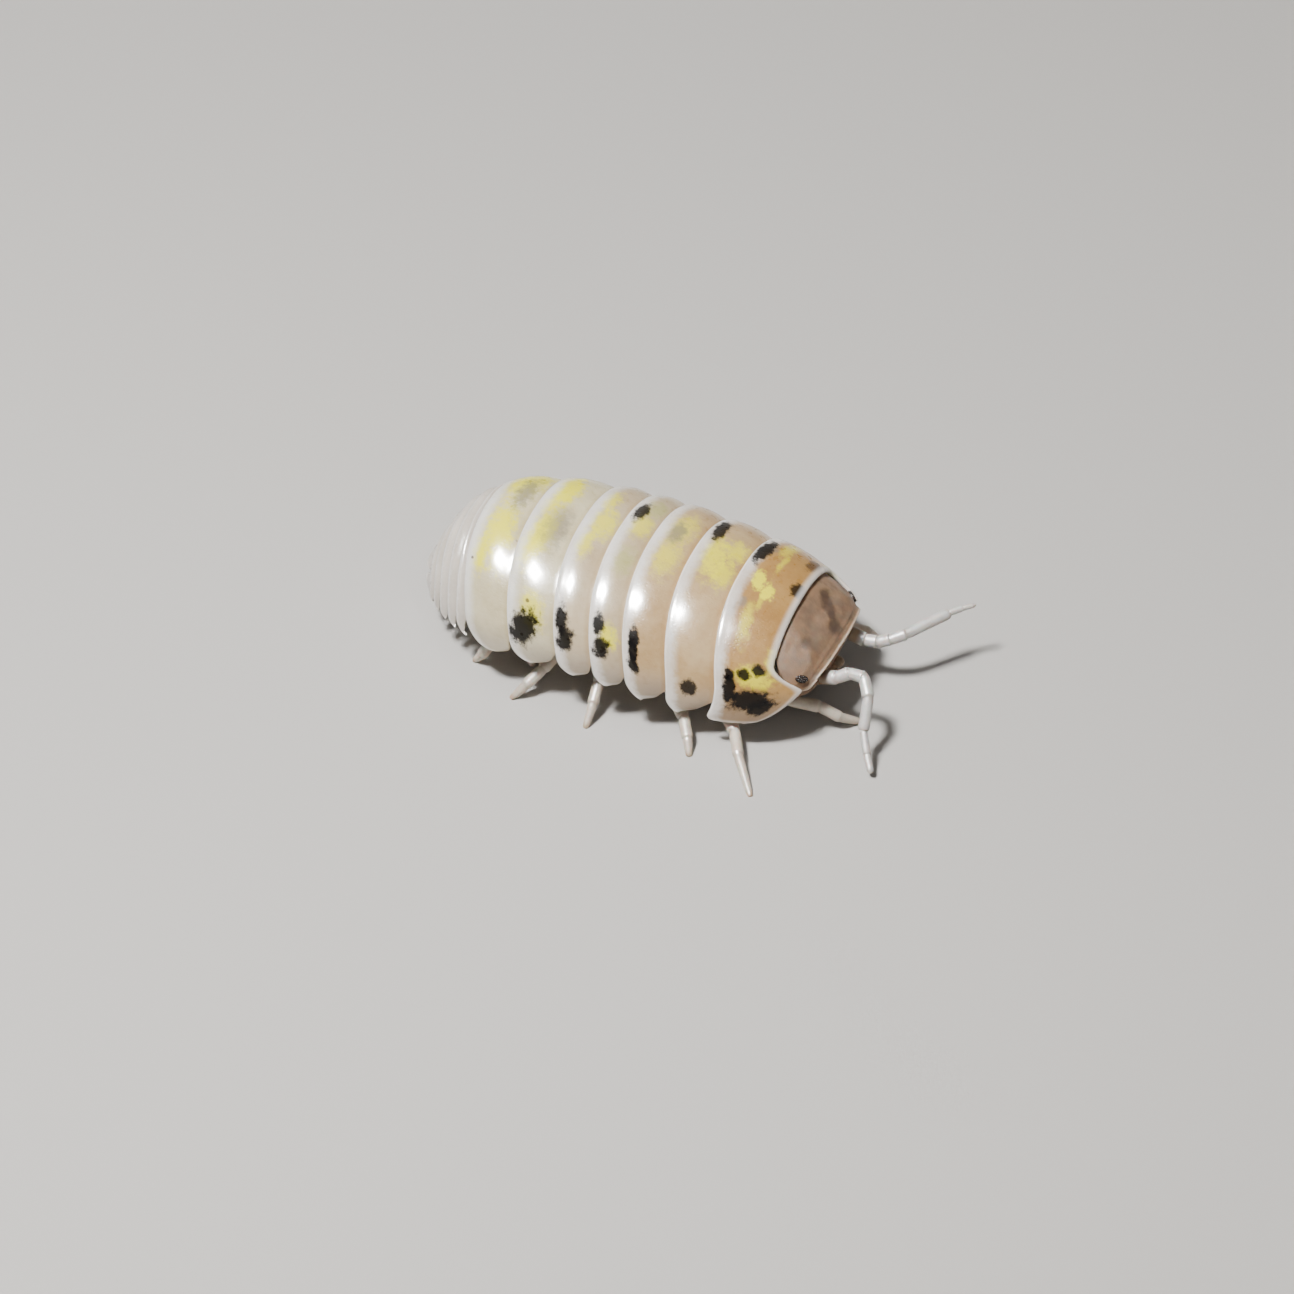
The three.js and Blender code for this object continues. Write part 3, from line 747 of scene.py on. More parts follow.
@dataclass(frozen=True)
class SkinFinish:
    """Soft mottled skin, for the head, the jaws, the belly and the gill plates.

    Its dark spots are given as x, y, z and radius in body millimetres.
    """

    light: Colour
    dark: Colour
    size: float
    contrast: float = 0.8
    roughness: float = 0.46
    spots: tuple[Four, ...] = ()
    spot_strength: float = 0.85
    ridge_angle: Optional[float] = None
    ridge: Colour = (0.52, 0.41, 0.30)
    ridge_fade: Fade = Fade(0.075, 0.02, 0.8)
    face_strength: float = 0.45

    def make(self, name: str, effects: Effects) -> Material:
        """Makes the material.

        Args:
            name: its name.
            effects: the shared effects.

        Returns:
            The material.
        """
        material, tree, shader = new_material(name)
        local = tree.local()
        cloud = tree.group(effects.cloud, {"Place": local, "Size": self.size, "Low": 0.35, "High": 0.68})
        colour = tree.cover(self.light, cloud, self.contrast, self.dark)
        for x, y, z, radius in self.spots:
            inputs = {
                "Place": local,
                "Centre": Vector((x, y, z)) + FORM.origin(),
                "Reach": (radius, radius, radius),
                "Softness": 0.4,
                "Ragged": 1.2,
            }
            spot = tree.group(effects.blotch, inputs)
            colour = tree.cover(colour, spot, self.spot_strength, Tint.BROWN.value)
        if self.ridge_angle is not None:
            angle = tree.add("ShaderNodeSeparateXYZ", {0: tree.attribute("place")}).outputs["Y"]
            away = tree.math("ABSOLUTE", tree.math("SUBTRACT", angle, self.ridge_angle))
            colour = self.ridge_fade.over(tree, colour, away, self.ridge)
            face = Fade(self.ridge_angle - 0.05, self.ridge_angle - 0.6, self.face_strength)
            colour = face.over(tree, colour, angle, self.dark)
        grain = tree.group(effects.grain, {"Place": local, "Size": 0.07})
        tree.dress(shader, colour, tree.scaled(cloud, 0.15, self.roughness), grain, 0.5, 0.015)
        constants = {
            "Coat Weight": 0.08,
            "Coat Roughness": 0.28,
            "Specular IOR Level": 0.32,
            "Subsurface Weight": 0.15,
            "Subsurface Scale": 0.25 * MM,
        }
        set_constants(shader, constants)
        return material


@dataclass(frozen=True)
class EyeFinish:
    """Smooth black lenses with a faint brown depth."""

    lens: Colour = (0.010, 0.007, 0.006)
    depth: Colour = (0.045, 0.022, 0.012)

    def make(self, name: str, effects: Effects) -> Material:
        """Makes the material.

        Args:
            name: its name.
            effects: the shared effects.

        Returns:
            The material.
        """
        material, tree, shader = new_material(name)
        cloud = tree.group(effects.cloud, {"Place": tree.local(), "Size": 0.1, "Low": 0.4, "High": 0.7})
        tree.link(tree.mix(cloud, self.lens, self.depth), shader, "Base Color")
        set_constants(shader, {"Roughness": 0.34, "Specular IOR Level": 0.12, "Coat Weight": 0.08})
        return material


@dataclass
class ShellPlate:
    """One arched plate of the back, whose rear rim stands over the front of the next."""

    name: str
    node: str
    number: int
    finish: ShellFinish
    lean: float
    rear: float
    sweep: float
    rear_round: float
    front_round: float
    marks: tuple[Marking, ...] = ()
    ahead: Optional["ShellPlate"] = None
    overlap: float = 0.5
    seam: float = 0.1
    wall: float = 0.15
    rim_lift: float = 0.085
    front_drop: float = 0.1
    bulge: float = 0.1
    columns: int = 128
    rows: int = 26
    slot: str = "shell_plate"

    def rear_x(self, across: float) -> float:
        """Returns the x of the rear margin."""
        height = FORM.height(self.rear, across)
        return FORM.margin(self.rear, across, self.lean, self.sweep) + corner_cut(height, self.rear_round)

    def front_x(self, across: float) -> tuple[float, float]:
        """Returns the x of the front edge, and how much of the plate is hidden under the one ahead."""
        height = FORM.height(self.rear, across)
        hidden = (self.overlap + self.seam) * smoothstep(height, 0.35, 1.3)
        start = FORM.margin(self.ahead.rear, across, self.ahead.lean, self.ahead.sweep) - self.seam
        return start - corner_cut(height, self.front_round) + hidden, hidden

    def lift(self, along: float, length: float, hidden: float) -> float:
        """Returns how far the plate stands out from the body's form.

        Args:
            along: the distance from the rear margin.
            length: the plate's length here.
            hidden: how much of that is under the plate ahead.

        Returns:
            The lift.
        """
        t = along / max(length - hidden, 0.2)
        fall = (self.rim_lift + self.front_drop) * min(t, 1.6) ** 1.3
        rim = 0.012 * math.exp(-((along - 0.16) ** 2) / 0.012) - 0.045 * bell(along, 0.0, 0.04)
        return self.rim_lift - fall + self.bulge * math.sin(math.pi * min(t, 1.0)) + rim

    def arc_length(self, across: float) -> float:
        """Returns the distance round the arch from the midline, right side negative."""
        steps = 24
        points = [FORM.arch(self.rear + 0.8, across * i / steps) for i in range(steps + 1)]
        return math.copysign(sum((b - a).length for a, b in zip(points, points[1:])), across)

    def build(self, effects: Effects) -> None:
        """Builds the plate.

        Args:
            effects: the shared effects.
        """
        arcs: dict[float, float] = {}

        def place(across: float, t: float) -> Spot:
            """Returns the point, its place on the plate and its distance from the front that shows."""
            rear = self.rear_x(across)
            front, hidden = self.front_x(across)
            length = max(front - rear, 0.06)
            along = length * (t**1.25)
            point = FORM.arch(rear + along, across, self.lift(along, length, hidden))
            key = round(across, 5)
            if key not in arcs:
                arcs[key] = self.arc_length(across)
            edge = point.z - FORM.value(self.rear, LOW)
            return point, Vector((arcs[key], along, edge)), max(length - hidden - along, 0.0)

        bm = curved_sheet(self.columns, self.rows, self.wall, place)
        material = self.finish.make(self.name, effects, self.marks, self.number)
        finish_piece(self.name, bm, material, [self.node], subdivide=1)


@dataclass
class CollarPlate(ShellPlate):
    """The first plate, whose front corners reach forward beside the head."""

    wall: float = 0.16
    rows: int = 40
    top_x: float = 6.6
    tip_x: float = 7.9

    def front_x(self, across: float) -> tuple[float, float]:
        """Returns the x of the free front edge, with nothing hidden."""
        reach = smoothstep(abs(across), 0.4, 0.66)
        height = FORM.height(6.5, across)
        return self.top_x + (self.tip_x - self.top_x) * reach - corner_cut(height, self.front_round), 0.0

    def lift(self, along: float, length: float, hidden: float) -> float:
        """Returns the lift, with a rolled rim at the front as well.

        Args:
            along: the distance from the rear margin.
            length: the plate's length here.
            hidden: nothing here.

        Returns:
            The lift.
        """
        ahead = max(length - along, 0.0)
        rim = 0.03 * math.exp(-((ahead - 0.14) ** 2) / 0.012) - 0.05 * bell(ahead, 0.0, 0.04)
        return super().lift(along, length * 1.6, hidden) + rim


@dataclass
class TailRing(ShellPlate):
    """One of the short rings of the tail, thinner and closer set."""

    overlap: float = 0.25
    seam: float = 0.06
    wall: float = 0.09
    rim_lift: float = 0.07
    front_drop: float = 0.05
    bulge: float = 0.03
    columns: int = 96
    rows: int = 14
    slot: str = "tail_plate"


TAN_FRONT = ShellFinish(
    tan=(0.29, 0.14, 0.035), pale=(0.50, 0.30, 0.10), paleness=0.36, lobe=(0.22, 0.165, 0.12)
)
# the collar has no plate ahead, so its painted crease shade is set to nothing
COLLAR = replace(TAN_FRONT, front_band=Fade(0.34, 0.06, 0.7), crease=Fade(0.16, 0.0, 0.0))
TAN_MILKY = ShellFinish(tan=(0.36, 0.21, 0.08), pale=(0.58, 0.42, 0.23), paleness=0.46)
MILKY = ShellFinish(tan=(0.40, 0.28, 0.14), pale=(0.60, 0.49, 0.33), paleness=0.52)
GREY_MILKY = ShellFinish(
    tan=(0.42, 0.34, 0.18), pale=(0.70, 0.62, 0.41), paleness=0.55, lobe=(0.38, 0.33, 0.28)
)
TAIL = ShellFinish(
    tan=(0.46, 0.40, 0.33),
    pale=(0.68, 0.62, 0.55),
    paleness=0.5,
    band_width=0.12,
    band_strength=0.6,
    lobe=(0.52, 0.47, 0.42),
)

BACK_MARKS: dict[int, tuple[Marking, ...]] = {
    1: (
        Marking(-4.1, 1.5, 0.4, 0.6, Tint.YELLOW, 0.8, softness=0.5),
        Marking(-3.4, 2.15, 0.45, 0.22, Tint.YELLOW, 0.6, softness=0.6),
        Marking(-0.35, 0.82, 0.45, 0.25, Tint.YELLOW, 0.95, 15, softness=0.35, both_sides=False),
        Marking(-0.75, 1.3, 0.32, 0.22, Tint.YELLOW, 0.95, softness=0.35, both_sides=False),
        Marking(1.0, 1.2, 0.6, 0.1, Tint.YELLOW, 0.5, softness=0.6),
        Marking(2.2, 0.95, 0.7, 0.2, Tint.YELLOW, 0.55, softness=0.7),
        Marking(-1.5, 0.6, 0.22, 0.15, Tint.GREY, 0.6, softness=0.5),
        Marking(-4.98, 1.32, 0.42, 0.82, Tint.BLACK, 0.98, 6),
        Marking(-4.62, 0.6, 0.55, 0.24, Tint.BLACK, 0.98),
        Marking(-5.3, 1.75, 0.34, 0.45, Tint.BLACK, 0.97, 20),
        Marking(-4.12, 0.58, 0.22, 0.19, Tint.BLACK, 0.97),
        Marking(-4.02, 1.14, 0.2, 0.24, Tint.BLACK, 0.97),
        Marking(-3.78, 1.68, 0.22, 0.26, Tint.BLACK, 0.97),
        Marking(1.25, 0.34, 0.85, 0.27, Tint.BLACK, 0.97, -3, both_sides=False),
        Marking(-1.9, 0.3, 0.3, 0.16, Tint.GREY, 0.5, softness=0.6, both_sides=False),
        Marking(0.05, 2.25, 0.36, 0.36, Tint.BLACK, 0.92, both_sides=False),
        Marking(2.1, 2.0, 0.6, 0.24, Tint.BROWN, 0.8, both_sides=False),
    ),
    2: (
        Marking(-0.1, 0.85, 1.0, 0.42, Tint.YELLOW, 0.8, 8, softness=0.6, both_sides=False),
        Marking(-0.7, 1.45, 0.6, 0.35, Tint.YELLOW, 0.7, softness=0.6),
        Marking(1.57, 0.42, 0.85, 0.26, Tint.BLACK, 0.96, 4, both_sides=False),
        Marking(-5.45, 0.95, 0.32, 0.3, Tint.BLACK, 0.95),
    ),
    3: (
        Marking(-0.85, 0.9, 0.8, 0.42, Tint.YELLOW, 0.6, softness=0.7),
        Marking(0.5, 0.8, 0.6, 0.28, Tint.GREY, 0.75, softness=0.5, both_sides=False),
        Marking(-4.35, 0.5, 0.42, 0.2, Tint.BLACK, 0.98),
        Marking(-4.85, 0.5, 0.5, 0.2, Tint.BLACK, 0.98),
        Marking(-5.32, 0.46, 0.38, 0.2, Tint.BLACK, 0.98, 10),
    ),
    4: (
        Marking(0.3, 0.75, 0.6, 0.38, Tint.YELLOW, 0.65, softness=0.6, both_sides=False),
        Marking(-1.6, 0.8, 0.6, 0.38, Tint.GREEN, 0.6, softness=0.7),
        Marking(-4.65, 0.8, 0.42, 0.32, Tint.YELLOW, 0.85, softness=0.5),
        Marking(1.09, 0.42, 0.62, 0.25, Tint.BLACK, 0.95, both_sides=False),
        Marking(-4.25, 0.42, 0.4, 0.23, Tint.BLACK, 0.98),
        Marking(-5.1, 0.52, 0.42, 0.3, Tint.BLACK, 0.98, -25),
    ),
    5: (
        Marking(-0.1, 0.85, 0.8, 0.45, Tint.YELLOW, 0.75, softness=0.6, both_sides=False),
        Marking(1.3, 0.55, 0.65, 0.28, Tint.YELLOW, 0.7, softness=0.6),
        Marking(-4.45, 0.36, 0.52, 0.25, Tint.BLACK, 0.98),
        Marking(-5.15, 0.5, 0.5, 0.3, Tint.BLACK, 0.98, -20),
    ),
    6: (
        Marking(1.2, 0.8, 1.0, 0.42, Tint.YELLOW, 0.95, softness=0.6),
        Marking(-2.1, 0.5, 0.8, 0.42, Tint.YELLOW, 0.95, softness=0.6),
        Marking(0.2, 0.5, 0.45, 0.32, Tint.YELLOW, 0.6, softness=0.6, both_sides=False),
        Marking(-4.35, 1.1, 0.65, 0.38, Tint.YELLOW, 0.75, 12, softness=0.6),
        Marking(-0.9, 1.2, 0.9, 0.45, Tint.GREY, 0.6, softness=0.7, both_sides=False),
        Marking(-5.1, 0.72, 0.82, 0.48, Tint.BLACK, 0.98, -38),
        Marking(-4.1, 0.9, 0.07, 0.07, Tint.BROWN, 0.8, both_sides=False),
    ),
    7: (
        Marking(-1.6, 1.15, 1.3, 0.55, Tint.YELLOW, 0.95, 6, softness=0.6),
        Marking(-2.7, 0.6, 0.7, 0.32, Tint.YELLOW, 0.95, softness=0.6),
        Marking(1.5, 0.6, 0.65, 0.28, Tint.YELLOW, 0.65, softness=0.6, both_sides=False),
        Marking(0.8, 1.3, 1.0, 0.34, Tint.GREY, 0.75, softness=0.6, both_sides=False),
        Marking(-1.8, 1.9, 0.06, 0.06, Tint.BROWN, 0.8, both_sides=False),
        Marking(-3.0, 0.3, 0.06, 0.06, Tint.BROWN, 0.8, both_sides=False),
    ),
}


@dataclass
class Back:
    """All the plates of the back: seven that carry legs, and the five short rings of the tail.

    Each row holds the rear margin's x, its sweep, and the radii of the rear and front corners.
    """

    lean: float = 0.22
    tail_lean: float = 0.12
    broad: tuple[Four, ...] = (
        (4.95, 0.6, 0.25, 1.9),
        (3.05, 0.25, 0.5, 0.95),
        (1.35, 0.05, 0.55, 0.85),
        (0.0, 0.0, 0.4, 0.6),
        (-1.45, 0.0, 0.45, 0.5),
        (-3.4, 0.0, 0.6, 0.7),
        (-5.4, 0.2, 1.1, 0.25),
    )
    short: tuple[Four, ...] = (
        (-6.0, 0.1, 0.5, 0.2),
        (-6.5, 0.1, 0.4, 0.1),
        (-6.98, 0.1, 0.3, 0.1),
        (-7.42, 0.1, 0.25, 0.1),
        (-7.84, 0.1, 0.2, 0.1),
    )
    finishes: tuple[ShellFinish, ...] = (COLLAR, TAN_MILKY, TAN_MILKY, MILKY, MILKY, GREY_MILKY, GREY_MILKY)

    def build(self, effects: Effects) -> ShellPlate:
        """Builds every plate, front to rear.

        Args:
            effects: the shared effects.

        Returns:
            The last plate of the tail.
        """
        last: Optional[ShellPlate] = None
        for number, (row, finish) in enumerate(zip(self.broad, self.finishes), 1):
            kind = ShellPlate if last else CollarPlate
            names = (f"shell_plate_{number}", f"pereonite_{number}")
            last = kind(*names, number, finish, self.lean, *row, BACK_MARKS[number], last)
            last.build(effects)
        for number, row in enumerate(self.short, 1):
            names = (f"tail_ring_{number}", f"pleonite_{number}")
            last = TailRing(*names, number + len(self.broad), TAIL, self.tail_lean, *row, (), last)
            last.build(effects)
        return last


@dataclass
class TailEnd:
    """The telson and the flat tail feet on both sides of it."""

    last: ShellPlate
    reach: float = 0.5
    foot_from: float = 0.56
    foot_to: float = 0.99
    telson_x: float = -8.62
    foot_x: float = -8.46
    wall: float = 0.2

    def build(self, effects: Effects) -> None:
        """Builds the three plates.

        Args:
            effects: the shared effects.
        """
        inner, outer = self.foot_from, self.foot_to
        for number, (name, node, start, end, rear) in enumerate(
            (
                ("telson_plate", "telson", -self.reach, self.reach, self.telson_rear),
                ("tail_foot_right", "uropod_right", -outer, -inner, self.foot_rear),
                ("tail_foot_left", "uropod_left", inner, outer, self.foot_rear),
            ),
            13,
        ):
            bm = self.sheet(start, end, rear)
            finish_piece(name, bm, TAIL.make(name, effects, (), number), [node], subdivide=1)

    def telson_rear(self, across: float) -> float:
        """Returns the x of the telson's rounded rear edge."""
        return self.telson_x + 0.28 * (abs(across) / self.reach) ** 2.4

    def foot_rear(self, across: float) -> float:
        """Returns the x of a tail foot's slanted rear edge."""
        share = (abs(across) - self.foot_from) / (self.foot_to - self.foot_from)
        return self.foot_x + 0.25 * share + 0.25 * abs(share - 0.35) ** 2

    def sheet(self, start: float, end: float, rear: Callable[[float], float]) -> BMesh:
        """Makes one small plate.

        Args:
            start: its right edge across the body.
            end: its left edge.
            rear: gives the x of its rear edge at a place across.

        Returns:
            The closed bmesh.
        """

        def place(u: float, t: float) -> Spot:
            """Returns the point, its place on the plate and its distance from the front."""
            across = start + (end - start) * (u + 1) / 2
            front = FORM.margin(self.last.rear, across, self.last.lean, self.last.sweep) + 0.15
            pull = 0.08 * abs(u) ** 6
            along = (front - rear(across) - pull) * t
            x = rear(across) + pull + along
            crown = 0.05 * math.cos(u * math.pi / 2) * math.sin(math.pi * min(t * 1.2, 1))
            point = FORM.arch(x, across, 0.02 - 0.1 * t + crown)
            return point, Vector((across * 3.0, along, point.z - FORM.value(x, LOW) + 0.3)), 1.0

        return curved_sheet(28, 16, self.wall, place)


@dataclass
class Underside:
    """The soft body under the plates, with a rib on the belly for every pair of legs, and the gill plates."""

    rear: float = -8.0
    front: float = 6.1
    inside: float = -0.42
    ribs: tuple[float, ...] = (5.2, 3.3, 1.45, -0.1, -1.55, -3.15, -4.95)
    rings: int = 130
    sides: int = 96
    flesh: SkinFinish = SkinFinish(light=(0.66, 0.60, 0.50), dark=(0.42, 0.35, 0.27), size=0.8, roughness=0.42)
    gill: SkinFinish = SkinFinish(light=(0.78, 0.76, 0.72), dark=(0.55, 0.52, 0.48), size=0.5, roughness=0.4)

    def build(self, effects: Effects) -> None:
        """Builds the body's core and the gill plates."""
        self.build_core(self.flesh.make("Soft belly", effects))
        self.build_gills(self.gill.make("Gill plate", effects))

    def rib(self, x: float) -> float:
        """Returns how far the belly swells down at x."""
        return sum(0.16 * bell(x, r, 0.42) for r in self.ribs)

    def build_core(self, material: Material) -> None:
        """Builds the core as a closed tube from tail to head, inside the plates.

        Args:
            material: its finish.
        """
        places = (self.rear + (self.front - self.rear) * i / self.rings for i in range(self.rings + 1))
        bm = tube([[self.core_point(x, TURN * k / self.sides) for k in range(self.sides)] for x in places])
        nodes = [f"pereonite_{i}" for i in range(1, 8)] + [f"pleonite_{i}" for i in range(1, 6)]
        finish_piece("soft_body", bm, material, nodes)

    def core_point(self, x: float, turn: float) -> Vector:
        """Returns a point of the core: the arch's inside above, the ribbed belly below.

        Args:
            x: place along the body.
            turn: angle round the ring, 0 at the left.

        Returns:
            The point.
        """
        across = math.cos(turn) * FORM.groove
        if math.sin(turn) >= 0:
            return FORM.arch(x - 0.25, across, self.inside)
        outer = abs(math.cos(turn))
        low = FORM.belly(x, across, self.rib(x) * (1 - outer**4))
        top = FORM.arch(x - 0.25, math.copysign(FORM.groove, across), self.inside)
        return Vector((x, low.y * (0.86 + 0.03 * self.rib(x)), low.z)).lerp(top, outer**8)

    def build_gills(self, material: Material) -> None:
        """Builds the overlapping gill plates under the tail.

        Args:
            material: their finish.
        """
        bm = bmesh.new()
        tilt = Matrix.Rotation(0.32, 4, "Y")
        for i in range(5):
            reach = 1.5 - 0.16 * i
            x, z = -5.6 - 0.4 * i, 1.86 - 0.13 * i
            for _, side in SIDES:
                turn = tilt @ Matrix.Rotation(side * 0.12, 4, "X") @ Matrix.Diagonal((0.5, reach * 0.5, 0.1, 1.0))
                add_ball(bm, Matrix.Translation((x, side * reach * 0.52, z)) @ turn, 32, 16)
        finish_piece("gill_plates", bm, material, ["pleopods"], subdivide=1)


@dataclass
class Head:
    """The short broad head with its brow line, face, jaws and eyes.

    The profile's corners are x and z in body millimetres. Angles go round it, 0 forward and up to the top.
    """

    half: float = 2.64
    power: float = 2.9
    rear_spread: float = 0.12
    roof_gap: float = 0.1
    eye_at: Colour = (7.56, 2.6, 2.72)
    eye_half: Colour = (0.27, 0.15, 0.06)
    lens_radius: float = 0.036
    lens_rows: tuple[int, ...] = (4, 6, 6, 4)
    lens_step: tuple[float, float] = (0.076, 0.066)
    centre: tuple[float, float] = (7.35, 2.45)
    profile: tuple[tuple[float, float], ...] = (
        (6.2, 3.85),
        (6.6, 4.02),
        (7.25, 3.68),
        (7.85, 3.2),
        (8.14, 2.92),
        (8.18, 2.7),
        (7.98, 2.45),
        (7.92, 2.0),
        (7.75, 1.55),
        (7.35, 1.35),
        (6.8, 1.35),
        (6.3, 1.7),
        (6.22, 2.6),
    )
    brow_angle: float = 0.42
    spots: tuple[Four, ...] = (
        (6.95, 1.1, 3.75, 0.26),
        (7.1, 0.85, 3.65, 0.3),
        (7.3, 0.62, 3.55, 0.28),
        (7.5, 0.42, 3.42, 0.22),
        (7.78, 0.1, 3.2, 0.34),
        (7.2, -1.5, 3.4, 0.3),
    )
    jaw: SkinFinish = SkinFinish(light=(0.40, 0.29, 0.19), dark=(0.16, 0.10, 0.06), size=0.3)

    def build(self, effects: Effects) -> None:
        """Builds the head, the jaws and both eyes.

        Args:
            effects: the shared effects.
        """
        skin = SkinFinish(
            light=(0.24, 0.14, 0.075),
            dark=(0.13, 0.075, 0.04),
            size=0.5,
            contrast=0.75,
            spots=self.spots,
            ridge_angle=self.brow_angle,
        )
        self.build_capsule(skin.make("Head skin", effects))
        self.build_jaws(self.jaw.make("Jaw skin", effects))
        lens = EyeFinish().make("Eye lens", effects)
        for name, side in SIDES:
            self.build_eye(name, side, lens)

    def reach(self, angle: float) -> float:
        """Returns the profile's distance from its centre at an angle, by a smooth closed curve."""
        cx, cz = self.centre
        polar = sorted((math.atan2(z - cz, x - cx), math.hypot(x - cx, z - cz)) for x, z in self.profile)
        n = len(polar)
        k = next((i for i, p in enumerate(polar) if p[0] > angle), n)
        near = [(polar[i % n][0] + TURN * (i // n), polar[i % n][1]) for i in range(k - 2, k + 2)]
        return cubic(near, angle)

    def surface(self, place: float, angle: float) -> Vector:
        """Returns a point of the head.

        Args:
            place: -1 at the right cheek, 1 at the left.
            angle: round the profile.

        Returns:
            The point.
        """
        size = max(1 - abs(place) ** self.power, 0.0) ** (1 / self.power)
        r = self.reach(angle) * size
        brow = 0.085 * bell(angle, self.brow_angle, 0.05) * smoothstep(size, 0.1, 0.5)
        groove = -0.03 * bell(angle, self.brow_angle + 0.2, 0.09)
        shield = 0.08 * bell(place, 0.0, 0.22) * bell(angle, 0.2, 0.16)
        socket = -0.14 * bell(abs(place), 0.64, 0.13) * bell(angle, -0.3, 0.22)
        knob = 0.09 * bell(abs(place), 0.38, 0.1) * bell(angle, -0.12, 0.2)
        r += brow + groove + shield + socket + knob
        drop = 0.3 * place**4 * smoothstep(math.cos(angle), 0.3, 0.9)
        x, z = self.centre[0] + r * math.cos(angle), self.centre[1] + r * math.sin(angle)
        y = place * self.half * (1 + self.rear_spread * smoothstep(x, 7.9, 6.9))
        return Vector((x, y, self.under_roof(x - abs(place) ** 3, x, y, z) - drop))

    def under_roof(self, covered: float, x: float, y: float, z: float) -> float:
        """Returns the height of a point, fitted under the first plate's arch where that covers the head.

        Args:
            covered: x measured back from where the plate's front margin lies beside the point.
            x: the point's place along the body.
            y: its place across.
            z: its own height.

        Returns:
            The fitted height.
        """
        low, wide, top = FORM.value(x, LOW), FORM.value(x, HALF_WIDTH) - self.roof_gap, FORM.value(x, TOP) - self.roof_gap
        share = max(1 - min(abs(y) / wide, 1.0) ** FORM.arch_power, 0.0) ** (1 / FORM.arch_power)
        roof = low + share * (top - low)
        pull = smoothstep(covered, 7.1, 6.5) * smoothstep(z, self.centre[1], self.centre[1] + 0.6)
        return min(z + (roof - z) * pull, roof)

    def build_capsule(self, material: Material) -> None:
        """Bends a sphere onto the head's form.

        Args:
            material: its finish.
        """
        bm = bmesh.new()
        kept = bm.verts.layers.float_vector.new("place")
        add_ball(bm, Matrix.Identity(4), 240, 90)
        bmesh.ops.rotate(bm, verts=bm.verts, matrix=Matrix.Rotation(math.pi / 2, 3, "X"))
        for v in bm.verts:
            place = max(-1.0, min(1.0, v.co.y))
            angle = math.atan2(v.co.z, v.co.x)
            point = self.surface(place, angle)
            v[kept] = Vector((place, angle, 0.0))
            crease = 0.02 * noise.noise(point * 2.3)
            v.co = point + Vector((crease, 0, crease))
        bmesh.ops.recalc_face_normals(bm, faces=bm.faces)
        finish_piece("head_capsule", bm, material, ["head"])

    def build_jaws(self, material: Material) -> None:
        """Builds the jaws and the jaw feet under the head.

        Args:
            material: their finish.
        """
        bm = bmesh.new()
        for _, side in SIDES:
            for (x, y, z), half, turn in (
                ((7.2, 0.42, 1.06), (0.62, 0.4, 0.17), 0.12),
                ((7.75, 0.5, 1.22), (0.3, 0.3, 0.2), -0.3),
                ((7.62, 0.2, 1.05), (0.3, 0.12, 0.14), 0.1),
                ((7.1, 0.85, 1.2), (0.35, 0.16, 0.12), 0.3),
            ):
                turned = Matrix.Rotation(side * turn, 4, "Z") @ Matrix.Diagonal((*half, 1.0))
                add_ball(bm, Matrix.Translation((x, side * y, z)) @ turned, 28, 18)
        finish_piece("jaws", bm, material, ["mouthparts"], subdivide=1)

    def eye_seat(self, side: int) -> tuple[Vector, Vector, Vector]:
        """Finds where an eye sits on the cheek.

        Args:
            side: -1 or 1.

        Returns:
            The nearest point of the head to the eye's place, the way out of the head and the way forward.
        """
        x, y, z = self.eye_at
        target = Vector((x, side * y, z))
        tries = ((side * (0.8 + 0.004 * i), 0.3 + 0.03 * j) for i in range(49) for j in range(50))
        place, angle = min(tries, key=lambda pair: (self.surface(*pair) - target).length)
        down = self.surface(place, angle - 0.2) - self.surface(place, angle + 0.2)
        across = self.surface(place + side * 0.01, angle) - self.surface(place - side * 0.03, angle)
        out = down.cross(across).normalized()
        out = out if out.y * side > 0 else -out
        along = Vector((1, 0, 0)) - out * out.x
        return self.surface(place, angle), out, along.normalized()

    def build_eye(self, name: str, side: int, material: Material) -> None:
        """Builds one eye, a low dome set with a cluster of lenses.

        Args:
            name: right or left.
            side: -1 or 1.
            material: its finish.
        """
        bm = bmesh.new()
        middle, out, along = self.eye_seat(side)
        up = out.cross(along)
        turn = Matrix((along, up, out)).transposed().to_4x4()
        long, wide, high = self.eye_half
        add_ball(bm, Matrix.Translation(middle) @ turn @ Matrix.Diagonal((long, wide, high, 1.0)), 32, 16)
        for row, count in enumerate(self.lens_rows):
            for k in range(count):
                a = (k - (count - 1) / 2) * self.lens_step[0]
                b = (row - (len(self.lens_rows) - 1) / 2) * self.lens_step[1]
                height = high * math.sqrt(max(0.05, 1 - (a / long) ** 2 - (b / wide) ** 2))
                matrix = Matrix.Translation(middle + along * a + up * b + out * height)
                bmesh.ops.create_icosphere(bm, subdivisions=2, radius=self.lens_radius, matrix=matrix)
        finish_piece(f"eye_lenses_{name}", bm, material, [f"eye_{name}"])


